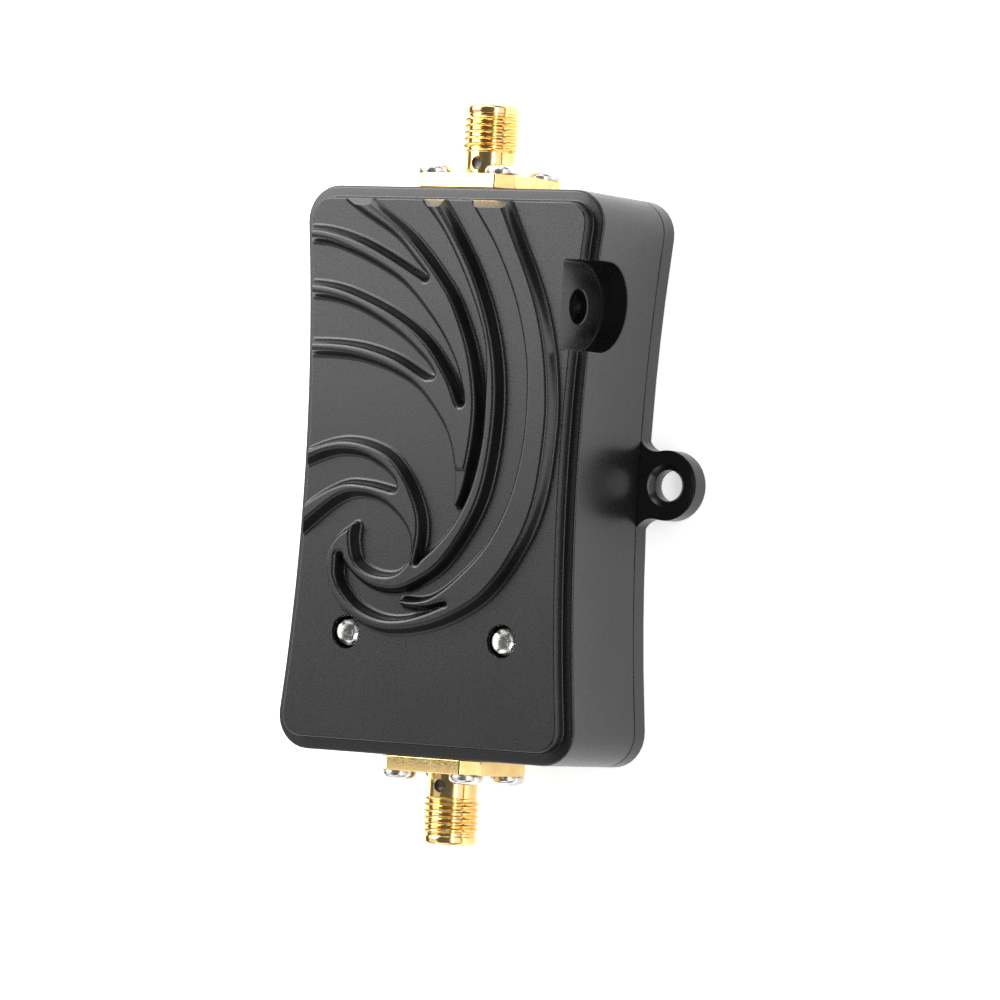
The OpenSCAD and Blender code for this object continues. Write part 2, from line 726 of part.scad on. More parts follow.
module shield_frame() {
    color("silver") translate([0, shield_y, board_top]) difference() {
        translate([-shield_w / 2, -shield_l / 2, 0]) cube([shield_w, shield_l, shield_h]);
        translate([-shield_w / 2 + sheet_t, -shield_l / 2 + sheet_t, -1])
            cube([shield_w - 2 * sheet_t, shield_l - 2 * sheet_t, shield_h + 2]);
    }
}

module shield_lid() {
    w = shield_w + 2 * fit_gap + 2 * sheet_t;
    l = shield_l + 2 * fit_gap + 2 * sheet_t;
    color([0.8, 0.8, 0.82]) translate([0, shield_y, board_top + shield_h]) difference() {
        translate([-w / 2, -l / 2, -lid_overlap]) cube([w, l, lid_overlap + sheet_t]);
        translate([-w / 2 + sheet_t, -l / 2 + sheet_t, -lid_overlap - 1])
            cube([w - 2 * sheet_t, l - 2 * sheet_t, lid_overlap + 1]);
        for (ix = [-2:2], iy = [-3:3])
            translate([ix * vent_pitch, iy * vent_pitch, -1]) cylinder(h = 2, d = vent_d, $fn = 16);
    }
}

// leadless chip with its moulded top
module chip(x, y, w, l, h) {
    translate([x - w / 2, y - l / 2, board_top]) cube([w, l, h]);
}

module power_amplifier() { color(chip_black) chip(0, block_y, 5, 5, 1); }
module low_noise_amplifier() { color(chip_black) chip(4.6, -9.5, 2, 2, 0.75); }
module antenna_switch() { color(chip_black) chip(0, 5.6, 2, 3, 0.9); }
module power_detector() { color(chip_black) chip(-4.6, -9.5, 3, 3, 0.85); }
module regulator() { color(chip_black) chip(-10, 12.6, 3, 4.4, 1.5); }

module power_inductor() {
    color([0.25, 0.25, 0.27]) translate([inductor_place.x, inductor_place.y, board_top]) {
        centred_plate(inductor_w, can_base_t);
        cylinder(h = inductor_h, d = inductor_d, $fn = 40);
    }
}

module centred_plate(w, t) {
    translate([-w / 2, -w / 2, 0]) cube([w, w, t]);
}

module bulk_capacitors() {
    color([0.75, 0.75, 0.78]) for (p = can_places) translate([p.x, p.y, board_top]) difference() {
        union() {
            centred_plate(can_base_w, can_base_t);
            cylinder(h = can_h, d = can_d, $fn = 40);
        }
        translate([0, 0, can_groove_z]) difference() {
            cylinder(h = can_groove_h, d = can_d + 1, $fn = 40);
            translate([0, 0, -1]) cylinder(h = can_groove_h + 2, d = can_groove_d, $fn = 40);
        }
    }
}

// rows of small resistors and capacitors beside the chips
module chip_parts() {
    color([0.6, 0.5, 0.38]) {
        for (i = [0:3], sx = [-1, 1]) chip(sx * 6.4, -4.5 + i * 2.6, 0.6, 1.2, 0.5);
        for (i = [-1, 1]) chip(i * 2.6, 5.6, 0.6, 1.2, 0.5);
        for (i = [0:2]) chip(-1.6 + i * 1.6, -9.8, 0.6, 1.2, 0.5);
        for (i = [0:3]) chip(-3 + i * 2, -21.5, 1.2, 0.7, 0.5);
        for (i = [0:2]) chip(-11.6, -4 + i * 3.6, 0.8, 1.6, 0.6);
    }
}

// ---------------------------------------------------------------- assembly

housing();
base_plate();
base_screws();
antenna_socket();
antenna_insulator();
antenna_contact();
antenna_potting();
antenna_screws();
radio_socket();
radio_insulator();
radio_contact();
radio_potting();
radio_screws();
circuit_board();
board_screws();
thermal_pad();
jack_body();
jack_pin();
jack_terminals();
jack_spring();
power_lamp();
link_lamp();
lamp_leads();
shield_frame();
shield_lid();
power_amplifier();
low_noise_amplifier();
antenna_switch();
power_detector();
regulator();
power_inductor();
bulk_capacitors();
chip_parts();
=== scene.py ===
"""Cellular signal booster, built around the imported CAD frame. Lengths in the code are in millimetres."""

import json
import math
import random

import bmesh
import bpy
import numpy as np
from mathutils import Matrix, Vector
from mathutils.geometry import delaunay_2d_cdt


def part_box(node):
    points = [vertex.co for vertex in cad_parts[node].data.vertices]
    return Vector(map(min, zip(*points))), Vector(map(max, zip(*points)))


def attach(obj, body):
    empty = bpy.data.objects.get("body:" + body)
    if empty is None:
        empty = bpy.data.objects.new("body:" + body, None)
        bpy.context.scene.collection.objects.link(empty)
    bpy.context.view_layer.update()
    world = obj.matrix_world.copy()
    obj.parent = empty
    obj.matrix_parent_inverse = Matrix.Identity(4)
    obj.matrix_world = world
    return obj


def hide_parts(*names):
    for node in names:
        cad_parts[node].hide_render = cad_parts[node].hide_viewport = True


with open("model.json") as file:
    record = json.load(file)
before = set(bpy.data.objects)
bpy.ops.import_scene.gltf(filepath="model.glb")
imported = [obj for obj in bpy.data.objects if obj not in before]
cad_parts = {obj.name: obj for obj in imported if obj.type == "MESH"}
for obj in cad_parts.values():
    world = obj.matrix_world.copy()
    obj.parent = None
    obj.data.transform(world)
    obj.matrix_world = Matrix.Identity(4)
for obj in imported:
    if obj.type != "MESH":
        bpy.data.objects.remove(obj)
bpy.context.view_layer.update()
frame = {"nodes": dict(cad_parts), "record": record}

MM = 0.001
CASE = "case"
SHARP_ANGLE = math.radians(38)
BEVEL_ANGLE = math.radians(35)
random.seed(7)


# ---------------------------------------------------------------- camera and studio

CAMERA_AZIMUTH = 31.53
CAMERA_ELEVATION = -1.19
CAMERA_ROLL = 3.42
CAMERA_DISTANCE = 693
CAMERA_LENS = 224.8
CAMERA_SHIFT = (-0.01165, -0.02123)


def link(obj):
    bpy.context.scene.collection.objects.link(obj)
    return obj


def camera_axes():
    """Right, up and back directions of the camera, which looks down on the front."""
    az, el, roll = (math.radians(a) for a in (CAMERA_AZIMUTH, CAMERA_ELEVATION, CAMERA_ROLL))
    back = Vector((math.sin(az) * math.cos(el), math.sin(el), math.cos(az) * math.cos(el)))
    right = Vector((0, 1, 0)).cross(back).normalized()
    up = back.cross(right)
    return (
        math.cos(roll) * right + math.sin(roll) * up,
        math.cos(roll) * up - math.sin(roll) * right,
        back,
    )


def add_camera():
    data = bpy.data.cameras.new("camera")
    camera = link(bpy.data.objects.new("camera", data))
    right, up, back = camera_axes()
    camera.matrix_world = Matrix.Translation(back * CAMERA_DISTANCE * MM) @ Matrix(
        (right, up, back)
    ).transposed().to_4x4()
    data.lens = CAMERA_LENS
    data.shift_x, data.shift_y = CAMERA_SHIFT
    data.clip_start = 0.01
    bpy.context.scene.camera = camera


# distance of the lights from the origin
LIGHT_DISTANCE = 620
# direction from the origin, width and height, and radiance of each light
SOFTBOXES = {
    "left_soft": ((-0.7, 0.5, 0.72), (460, 560), 5.2),
    "left_low": ((-0.7, -0.5, 0.72), (460, 500), 0.9),
    "right_soft": ((0.86, 0.0, 0.5), (520, 900), 1.1),
    "right_strip": ((0.74, 0.0, 0.67), (45, 900), 8.0),
    "upper_soft": ((-0.1, 0.86, 0.5), (620, 260), 3.5),
    "lower_soft": ((-0.1, -0.86, 0.5), (620, 260), 1.5),
    "key": ((-0.55, 0.52, 0.66), (150, 150), 9.0),
}
WORLD_STRENGTH = 0.12
FLOOR_GLOW = 0.6
FLOOR_SIZE = 6000
FLOOR_DROP = 0.2


def add_softbox(name, direction, size, radiance):
    """A rectangular light that faces the object; its first side lies across, its second along Y."""
    data = bpy.data.lights.new(name, "AREA")
    data.shape = "RECTANGLE"
    data.size, data.size_y = size[0] * MM, size[1] * MM
    data.energy = radiance * math.pi * data.size * data.size_y
    light = link(bpy.data.objects.new(name, data))
    back = Vector(direction).normalized()
    across = Vector((0, 1, 0)).cross(back).normalized()
    light.matrix_world = Matrix.Translation(back * LIGHT_DISTANCE * MM) @ Matrix(
        (across, back.cross(across), back)
    ).transposed().to_4x4()


def add_studio():
    world = bpy.data.worlds.new("studio")
    bpy.context.scene.world = world
    world.use_nodes = True
    background = world.node_tree.nodes["Background"]
    background.inputs["Color"].default_value = (1, 1, 1, 1)
    background.inputs["Strength"].default_value = WORLD_STRENGTH
    for name, (direction, size, radiance) in SOFTBOXES.items():
        add_softbox(name, direction, size, radiance)

    bpy.ops.mesh.primitive_plane_add(size=FLOOR_SIZE * MM, location=(0, 0, -FLOOR_DROP * MM))
    floor = bpy.context.object
    floor.name = "floor"
    paper = material("studio_white", (0.9, 0.9, 0.9), roughness=0.9, Emission_Strength=FLOOR_GLOW)
    paper.node_tree.nodes["Principled BSDF"].inputs["Emission Color"].default_value = (1, 1, 1, 1)
    floor.data.materials.append(paper)
    bpy.context.scene.view_settings.view_transform = "Standard"


# ---------------------------------------------------------------- materials


def material(name, color, roughness=0.5, metallic=0.0, **sockets):
    mat = bpy.data.materials.new(name)
    mat.use_nodes = True
    shader = mat.node_tree.nodes["Principled BSDF"]
    shader.inputs["Base Color"].default_value = (*color, 1)
    shader.inputs["Roughness"].default_value = roughness
    shader.inputs["Metallic"].default_value = metallic
    for socket, value in sockets.items():
        shader.inputs[socket.replace("_", " ")].default_value = value
    return mat


class Weave:
    """Short way to add nodes to a material's tree and to link them."""

    def __init__(self, mat):
        self.tree = mat.node_tree
        self.shader = self.tree.nodes["Principled BSDF"]
        self.coords = self.tree.nodes.new("ShaderNodeTexCoord").outputs["Object"]

    def link(self, a, b):
        self.tree.links.new(a, b)

    def noise(self, grain, detail=3, stretch=(1, 1, 1), distortion=0.0):
        """Noise whose lumps are about grain millimetres across."""
        mapping = self.tree.nodes.new("ShaderNodeMapping")
        mapping.inputs["Scale"].default_value = stretch
        self.link(self.coords, mapping.inputs["Vector"])
        node = self.tree.nodes.new("ShaderNodeTexNoise")
        node.inputs["Scale"].default_value = 1 / (grain * MM)
        node.inputs["Detail"].default_value = detail
        node.inputs["Distortion"].default_value = distortion
        self.link(mapping.outputs["Vector"], node.inputs["Vector"])
        return node.outputs["Fac"]

    def ramp(self, value, low, high, start=0.35, end=0.65):
        """Maps a value onto low..high, which are numbers or colours."""
        node = self.tree.nodes.new("ShaderNodeMapRange")
        node.inputs["From Min"].default_value = start
        node.inputs["From Max"].default_value = end
        self.link(value, node.inputs["Value"])
        if isinstance(low, (int, float)):
            node.inputs["To Min"].default_value = low
            node.inputs["To Max"].default_value = high
            return node.outputs["Result"]
        mix = self.tree.nodes.new("ShaderNodeMix")
        mix.data_type = "RGBA"
        mix.inputs["A"].default_value = (*low, 1)
        mix.inputs["B"].default_value = (*high, 1)
        self.link(node.outputs["Result"], mix.inputs["Factor"])
        return mix.outputs["Result"]

    def color(self, value, low, high, start=0.35, end=0.65):
        self.link(self.ramp(value, low, high, start, end), self.shader.inputs["Base Color"])

    def roughness(self, value, low, high, start=0.35, end=0.65):
        self.link(self.ramp(value, low, high, start, end), self.shader.inputs["Roughness"])

    def bump(self, value, depth, strength=1.0, below=None):
        """Relief of about depth millimetres; below is a relief that it lies on."""
        node = self.tree.nodes.new("ShaderNodeBump")
        node.inputs["Distance"].default_value = depth * MM
        node.inputs["Strength"].default_value = strength
        self.link(value, node.inputs["Height"])
        if below is not None:
            self.link(below, node.inputs["Normal"])
        self.link(node.outputs["Normal"], self.shader.inputs["Normal"])
        return node.outputs["Normal"]


def cast_black():
    mat = material("cast_black", (0.005, 0.005, 0.0054), 0.3)
    weave = Weave(mat)
    grain = weave.noise(0.16, detail=4)
    cloud = weave.noise(6, detail=3)
    weave.color(cloud, (0.004, 0.004, 0.0044), (0.0064, 0.0064, 0.0068))
    weave.roughness(grain, 0.24, 0.33)
    weave.bump(grain, 0.006, 0.09, below=weave.bump(weave.noise(1.6), 0.014, 0.14))
    return mat


def gold():
    mat = material("gold", (0.92, 0.6, 0.2), 0.16, 1.0)
    weave = Weave(mat)
    weave.color(weave.noise(2.5), (0.86, 0.59, 0.23), (0.95, 0.71, 0.33))
    weave.roughness(weave.noise(0.4, stretch=(1, 4, 1)), 0.1, 0.22)
    weave.bump(weave.noise(0.25, detail=2), 0.004, 0.3)
    return mat


def nickel():
    mat = material("nickel", (0.7, 0.69, 0.66), 0.22, 1.0)
    weave = Weave(mat)
    weave.color(weave.noise(0.9), (0.6, 0.58, 0.55), (0.78, 0.77, 0.74))
    weave.roughness(weave.noise(0.3), 0.16, 0.34)
    weave.bump(weave.noise(0.3), 0.008, 0.4)
    return mat


def plated_steel():
    mat = material("plated_steel", (0.45, 0.45, 0.47), 0.35, 1.0)
    weave = Weave(mat)
    weave.color(weave.noise(1.2), (0.36, 0.36, 0.38), (0.52, 0.52, 0.53))
    weave.roughness(weave.noise(0.3), 0.28, 0.45)
    weave.bump(weave.noise(0.25), 0.01, 0.4)
    return mat


def fluoropolymer():
    mat = material("fluoropolymer", (0.86, 0.86, 0.83), 0.42, Subsurface_Weight=0.15,
                   Subsurface_Scale=0.6 * MM)
    weave = Weave(mat)
    weave.color(weave.noise(1.0), (0.8, 0.8, 0.77), (0.9, 0.9, 0.87))
    weave.bump(weave.noise(0.2), 0.01, 0.3)
    return mat


def resin(name, dark, light, gloss=0.25):
    mat = material(name, light, gloss)
    weave = Weave(mat)
    weave.color(weave.noise(0.6), dark, light)
    weave.bump(weave.noise(0.4), 0.015, 0.4)
    return mat


def moulded(name, dark, light, roughness=0.5, grain=0.12):
    mat = material(name, light, roughness)
    weave = Weave(mat)
    weave.color(weave.noise(1.5), dark, light)
    weave.roughness(weave.noise(0.4), roughness - 0.08, roughness + 0.1)
    weave.bump(weave.noise(grain), 0.01, 0.5)
    return mat


def tin():
    mat = material("tin_plate", (0.62, 0.62, 0.6), 0.32, 1.0)
    weave = Weave(mat)
    weave.color(weave.noise(2.0, stretch=(1, 6, 1)), (0.52, 0.52, 0.5), (0.7, 0.7, 0.68))
    weave.roughness(weave.noise(0.5, stretch=(1, 8, 1)), 0.24, 0.42)
    weave.bump(weave.noise(0.3), 0.006, 0.4)
    return mat


def bronze():
    mat = material("spring_bronze", (0.66, 0.4, 0.2), 0.3, 1.0)
    weave = Weave(mat)
    weave.color(weave.noise(0.8), (0.56, 0.32, 0.15), (0.74, 0.48, 0.26))
    weave.roughness(weave.noise(0.3), 0.24, 0.4)
    return mat


def clear_resin():
    mat = material("clear_resin", (0.98, 0.98, 0.97), 0.01, Transmission_Weight=1.0, IOR=1.5)
    weave = Weave(mat)
    weave.roughness(weave.noise(0.8), 0.0, 0.02)
    weave.bump(weave.noise(1.5), 0.004, 0.15)
    return mat


def solder_mask():
    mat = material("solder_mask", (0.01, 0.1, 0.045), 0.3, Coat_Weight=0.3)
    weave = Weave(mat)
    weave.color(weave.noise(3.0), (0.008, 0.085, 0.04), (0.014, 0.12, 0.055))
    weave.roughness(weave.noise(0.4), 0.25, 0.4)
    weave.bump(weave.noise(0.5), 0.015, 0.4)
    return mat


def aluminium():
    mat = material("bright_can", (0.76, 0.76, 0.78), 0.3, 1.0)
    weave = Weave(mat)
    weave.color(weave.noise(1.0, stretch=(1, 1, 8)), (0.68, 0.68, 0.7), (0.82, 0.82, 0.84))
    weave.roughness(weave.noise(0.4, stretch=(1, 1, 10)), 0.22, 0.38)
    return mat


MATERIALS = {
    "housing": cast_black(),
    "steel": plated_steel(),
    "gold": gold(),
    "fluoropolymer": fluoropolymer(),
    "potting": resin("potting", (0.02, 0.012, 0.006), (0.06, 0.035, 0.015)),
    "nickel": nickel(),
    "board": solder_mask(),
    "pad": moulded("pad", (0.2, 0.24, 0.3), (0.27, 0.31, 0.38), 0.8, 0.2),
    "black_plastic": moulded("black_plastic", (0.008, 0.008, 0.008), (0.016, 0.016, 0.016)),
    "tin": tin(),
    "spring": bronze(),
    "clear": clear_resin(),
    "chip": moulded("chip", (0.01, 0.01, 0.011), (0.022, 0.022, 0.024), 0.6),
    "ferrite": moulded("ferrite", (0.03, 0.03, 0.034), (0.06, 0.06, 0.066), 0.7, 0.08),
    "can": aluminium(),
    "ceramic": moulded("ceramic", (0.26, 0.17, 0.09), (0.36, 0.25, 0.15), 0.45),
}


# ---------------------------------------------------------------- meshes


def piece(name, verts, faces):
    """A mesh object built from points in millimetres. It stays in millimetres until place()."""
    mesh = bpy.data.meshes.new(name)
    mesh.from_pydata([tuple(v) for v in verts], [], [tuple(f) for f in faces])
    return link(bpy.data.objects.new(name, mesh))


def apply_modifiers(obj):
    graph = bpy.context.evaluated_depsgraph_get()
    baked = bpy.data.meshes.new_from_object(obj.evaluated_get(graph))
    obj.modifiers.clear()
    old, obj.data = obj.data, baked
    bpy.data.meshes.remove(old)


def boolean(obj, other, operation="DIFFERENCE"):
    step = obj.modifiers.new("boolean", "BOOLEAN")
    step.operation = operation
    step.solver = "EXACT"
    step.object = other
    apply_modifiers(obj)
    bpy.data.objects.remove(other)
    return obj


def merge_slivers(obj, reach=0.004):
    """Closes the hair-thin faces that a boolean leaves, which would bend the normals beside them."""
    bm = bmesh.new()
    bm.from_mesh(obj.data)
    bmesh.ops.remove_doubles(bm, verts=bm.verts, dist=reach)
    bmesh.ops.dissolve_degenerate(bm, edges=bm.edges, dist=reach / 4)
    bm.to_mesh(obj.data)
    bm.free()


def soften(obj, width, segments):
    """Rounds a mesh's sharp edges."""
    step = obj.modifiers.new("soften", "BEVEL")
    step.width = width
    step.segments = segments
    step.limit_method = "ANGLE"
    step.angle_limit = BEVEL_ANGLE
    apply_modifiers(obj)
    return obj


def joined(objects, name):
    """One object made of all the meshes given."""
    bm = bmesh.new()
    for obj in objects:
        mesh = obj.data.copy()
        mesh.transform(obj.matrix_world)
        bm.from_mesh(mesh)
        bpy.data.meshes.remove(mesh)
        bpy.data.objects.remove(obj)
    mesh = bpy.data.meshes.new(name)
    bm.to_mesh(mesh)
    bm.free()
    return link(bpy.data.objects.new(name, mesh))


def place(obj, name, slot, body=CASE, nodes=(), shaded=False):
    """Turns a finished millimetre mesh into a named piece. A shaded one has its normals already."""
    obj.name = name
    obj.data.transform(obj.matrix_world)
    obj.matrix_world = Matrix.Identity(4)
    obj.data.transform(Matrix.Scale(MM, 4))
    obj.data.materials.clear()
    obj.data.materials.append(MATERIALS[slot])
    if not shaded:
        obj.data.shade_smooth()
        obj.data.set_sharp_from_angle(angle=SHARP_ANGLE)
        normals = obj.modifiers.new("normals", "WEIGHTED_NORMAL")
        normals.keep_sharp = True
    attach(obj, body)
    if nodes:
        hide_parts(*nodes)
    return obj


def loft(name, rings, closed=False):
    """A skin through rings of points. A closed one returns to its first ring, others get two ends."""
    n = len(rings[0])
    pairs = list(zip(range(len(rings)), range(1, len(rings))))
    faces = []
    if closed:
        pairs.append((len(rings) - 1, 0))
    else:
        last = (len(rings) - 1) * n
        faces = [tuple(range(n - 1, -1, -1)), tuple(range(last, last + n))]
    for low, high in pairs:
        for i in range(n):
            j = (i + 1) % n
            faces.append((low * n + i, low * n + j, high * n + j, high * n + i))
    return piece(name, [point for ring in rings for point in ring], faces)


def revolve(name, rows, segments=64, hollow=False):
    """A turned solid about Z. Each row is (z, radius), or (z, function of the angle).
    Rows run from the bottom up the outside; a hollow piece comes back down its bore."""
    turns = [2 * math.pi * i / segments for i in range(segments)]
    rings = []
    for z, radius in rows:
        radii = [radius(a) if callable(radius) else radius for a in turns]
        rings.append([(r * math.cos(a), r * math.sin(a), z) for r, a in zip(radii, turns)])
    return loft(name, rings, hollow)


def prism(name, outline, low, high):
    """A straight solid over a closed outline of (x, y) points, counter-clockwise."""
    return loft(name, [[(x, y, z) for x, y in outline] for z in (low, high)])


def twin(master, matrix):
    """A copy of a mesh object, stood at a matrix."""
    obj = link(bpy.data.objects.new(master.name, master.data.copy()))
    obj.matrix_world = matrix @ master.matrix_world
    return obj


def copies(master, name, matrices):
    """One object made of a copy of the master at each of the matrices."""
    twins = [twin(master, matrix) for matrix in matrices]
    bpy.data.objects.remove(master)
    bpy.context.view_layer.update()
    return joined(twins, name)


def values(items, key, width=3, kind=float):
    """One attribute of all the items of a mesh, as an array with a row for each item."""
    array = np.empty(len(items) * width, kind)
    items.foreach_get(key, array)
    return array if width == 1 else array.reshape(-1, width)


def box_mm(node):
    """Lowest and highest corner of a CAD node, in millimetres."""
    low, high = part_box(node)
    return low / MM, high / MM


# ---------------------------------------------------------------- outlines read from the CAD


def chained(links):
    """Turns a graph, where each point has two neighbours, into rows of point keys."""
    left = dict((key, list(value)) for key, value in links.items())
    rows = []
    while left:
        start = min(left, key=lambda key: (len(left[key]), key))
        row = [start]
        while True:
            here = row[-1]
            following = [k for k in left.get(here, []) if k in left and k not in row[-2:]]
            left.pop(here, None)
            following = [k for k in following if k in left]
            if not following:
                break
            row.append(following[0])
        rows.append(row)
    return rows


def section(node, height):
    """Closed outlines, longest first, where a level plane cuts a CAD node. Millimetres."""
    mesh = frame["nodes"][node].data
    mesh.calc_loop_triangles()
    points = values(mesh.vertices, "co") / MM
    tris = values(mesh.loop_triangles, "vertices", 3, int)
    _, first, same = np.unique(np.round(points, 4), axis=0, return_index=True, return_inverse=True)
    points = points[first]
    tris = same.reshape(-1)[tris]
    above = points[:, 2] > height
    crossing = tris[above[tris].any(1) & ~above[tris].all(1)]
    links, where = {}, {}
    for tri in crossing:
        ends = []
        for a, b in ((tri[0], tri[1]), (tri[1], tri[2]), (tri[2], tri[0])):
            if above[a] != above[b]:
                key = (min(a, b), max(a, b))
                t = (height - points[a, 2]) / (points[b, 2] - points[a, 2])
                where[key] = (points[a] + t * (points[b] - points[a]))[:2]
                ends.append(key)
        links.setdefault(ends[0], []).append(ends[1])
        links.setdefault(ends[1], []).append(ends[0])
    loops = [np.array([where[k] for k in row]) for row in chained(links)]
    return sorted((tidy_loop(loop) for loop in loops if len(loop) > 3), key=perimeter, reverse=True)


def tidy_loop(loop, gap=0.02):
    """Drops points that lie almost on their neighbour, and turns the loop counter-clockwise."""
    keep = [loop[0]]
    for point in loop[1:]:
        if np.hypot(*(point - keep[-1])) > gap:
            keep.append(point)
    if np.hypot(*(keep[-1] - keep[0])) < gap:
        keep.pop()
    loop = np.array(keep)
    return loop if signed_area(loop) > 0 else loop[::-1]


def signed_area(loop):
    following = np.roll(loop, -1, 0)
    return 0.5 * np.sum(loop[:, 0] * following[:, 1] - following[:, 0] * loop[:, 1])


def perimeter(loop):
    return np.hypot(*(np.roll(loop, -1, 0) - loop).T).sum()


def inset_loop(loop, distance):
    """The loop moved inwards, for distances smaller than its corner radii."""
    before, after = loop - np.roll(loop, 1, 0), np.roll(loop, -1, 0) - loop
    before /= np.hypot(*before.T)[:, None]
    after /= np.hypot(*after.T)[:, None]
    tangent = before + after
    tangent /= np.hypot(*tangent.T)[:, None]
    stretch = 1 / np.maximum(0.5, (tangent * after).sum(1))
    normal = np.stack([-tangent[:, 1], tangent[:, 0]], 1)
    return loop + normal * (distance * stretch)[:, None]


# points handled at a time, which bounds the memory used
CHUNK = 4000


def nearest(points, loops):
    """Distance from each point to the nearest side of any of the loops, and the way to it."""
    best = np.full(len(points), np.inf)
    way = np.zeros((len(points), 2))
    for loop in loops:
        a, b = loop, np.roll(loop, -1, 0)
        along = b - a
        size = (along**2).sum(1)
        for start in range(0, len(points), CHUNK):
            p = points[start : start + CHUNK, None]
            t = np.clip(((p - a) * along).sum(2) / size, 0, 1)
            gap = a + t[..., None] * along - p
            far = np.hypot(gap[..., 0], gap[..., 1])
            side = far.argmin(1)
            rows = np.arange(len(side))
            closer = far[rows, side] < best[start : start + CHUNK]
            where = start + rows[closer]
            best[where] = far[rows, side][closer]
            way[where] = gap[rows, side][closer]
    return best, way / np.maximum(best, 1e-9)[:, None]


def inside(points, loops):
    """Whether each point is inside an odd number of the loops."""
    odd = np.zeros(len(points), bool)
    for loop in loops:
        a, b = loop, np.roll(loop, -1, 0)
        for start in range(0, len(points), CHUNK):
            x, y = points[start : start + CHUNK].T[:, :, None]
            straddles = (a[:, 1] > y) != (b[:, 1] > y)
            rise = np.where(b[:, 1] == a[:, 1], 1e-9, b[:, 1] - a[:, 1])
            at = a[:, 0] + (y - a[:, 1]) * (b[:, 0] - a[:, 0]) / rise
            odd[start : start + CHUNK] ^= ((straddles & (x < at)).sum(1) % 2).astype(bool)
    return odd


def signed_distance(points, loops):
    """Distance to the loops' sides, below zero inside them, and the direction in which it grows."""
    away, way = nearest(points, loops)
    sign = np.where(inside(points, loops), -1.0, 1.0)
    return away * sign, -way * sign[:, None]


class Grid:
    """A field sampled on a square grid, whose level lines can be read off."""

    def __init__(self, low, high, step):
        self.x = np.arange(low[0], high[0] + step, step)
        self.y = np.arange(low[1], high[1] + step, step)
        self.step = step
        xx, yy = np.meshgrid(self.x, self.y, indexing="ij")
        self.points = np.stack([xx.ravel(), yy.ravel()], 1)
        self.shape = xx.shape

    def near_distance(self, loops, reach):
        """Signed distance to the loops, exact up to reach and cut off beyond it."""
        field = np.full(self.shape, float(reach))
        for loop in loops:
            for a, b in zip(loop, np.roll(loop, -1, 0)):
                i0, j0 = [int(np.searchsorted(axis, min(a[k], b[k]) - reach))
                          for k, axis in enumerate((self.x, self.y))]
                i1, j1 = [int(np.searchsorted(axis, max(a[k], b[k]) + reach))
                          for k, axis in enumerate((self.x, self.y))]
                px, py = self.x[i0:i1, None] - a[0], self.y[None, j0:j1] - a[1]
                d = b - a
                t = np.clip((px * d[0] + py * d[1]) / (d @ d), 0, 1)
                patch = field[i0:i1, j0:j1]
                np.minimum(patch, np.hypot(px - t * d[0], py - t * d[1]), out=patch)
        sign = np.ones(self.shape)
        for i, x in enumerate(self.x):
            crossings = []
            for loop in loops:
                a, b = loop, np.roll(loop, -1, 0)
                cut = (a[:, 0] > x) != (b[:, 0] > x)
                a, b = a[cut], b[cut]
                crossings += list(a[:, 1] + (x - a[:, 0]) * (b[:, 1] - a[:, 1]) / (b[:, 0] - a[:, 0]))
            passed = np.searchsorted(np.sort(crossings), self.y)
            sign[i, passed % 2 == 1] = -1
        return field * sign

    def level_lines(self, field, level, mask):
        """Rows of points along which the field has this level, where the mask is set."""
        high = field > level
        links, where = {}, {}
        cells = np.zeros((self.shape[0] - 1, self.shape[1] - 1), int)
        for di, dj in ((0, 0), (1, 0), (1, 1), (0, 1)):
            cells += high[di : di + cells.shape[0], dj : dj + cells.shape[1]]
        busy = (cells > 0) & (cells < 4) & mask[:-1, :-1]
        for i, j in np.argwhere(busy):
            ends = []
            corners = ((i, j), (i + 1, j), (i + 1, j + 1), (i, j + 1))
            for a, b in zip(corners, corners[1:] + corners[:1]):
                if high[a] != high[b]:
                    key = (min(a, b), max(a, b))
                    t = (level - field[a]) / (field[b] - field[a])
                    where[key] = (
                        self.x[a[0]] + t * (self.x[b[0]] - self.x[a[0]]),
                        self.y[a[1]] + t * (self.y[b[1]] - self.y[a[1]]),
                    )
                    ends.append(key)
            for a, b in zip(ends[::2], ends[1::2]):
                links.setdefault(a, []).append(b)
                links.setdefault(b, []).append(a)
        lines = []
        for row in chained(links):
            line = np.array([where[k] for k in row])
            closed = len(row) > 3 and row[0] in links[row[-1]]
            lines.append((simplified(line), closed))
        return lines


def simplified(line, tolerance=0.004, longest=0.9):
    """Fewest points of a line that stay within the tolerance of all of it."""
    keep = {0, len(line) - 1}
    todo = [(0, len(line) - 1)]
    while todo:
        a, b = todo.pop()
        if b - a < 2:
            continue
        chord = line[b] - line[a]
        size = np.hypot(*chord)
        inner = line[a + 1 : b] - line[a]
        off = np.abs(chord[0] * inner[:, 1] - chord[1] * inner[:, 0]) / size if size > 1e-9 \
            else np.hypot(*inner.T)
        worst = int(off.argmax())
        if off[worst] > tolerance or size > longest:
            middle = a + 1 + (worst if off[worst] > tolerance else (b - a) // 2 - 1)
            keep.add(middle)
            todo += [(a, middle), (middle, b)]
    return line[sorted(keep)]


# ---------------------------------------------------------------- housing

case_low, case_high = box_mm("housing")
SEAM_Z = case_low.z
RIB_TOP = case_high.z
RIB_HEIGHT = 1.6
PANEL_RISE = 1.4
FRONT_WALL = 1.6
PANEL_Z = RIB_TOP - RIB_HEIGHT
LEDGE_Z = PANEL_Z - PANEL_RISE
CEILING_Z = PANEL_Z - FRONT_WALL
PANEL_INSET = 1.4
# length of the slope that ends a rib at the panel's edge
RIB_END_RUN = 1.0
# distance from the outer edge past which the lower ribs are told from the tall ones
STEPS_FROM = PANEL_INSET + 1.6 * RIB_END_RUN
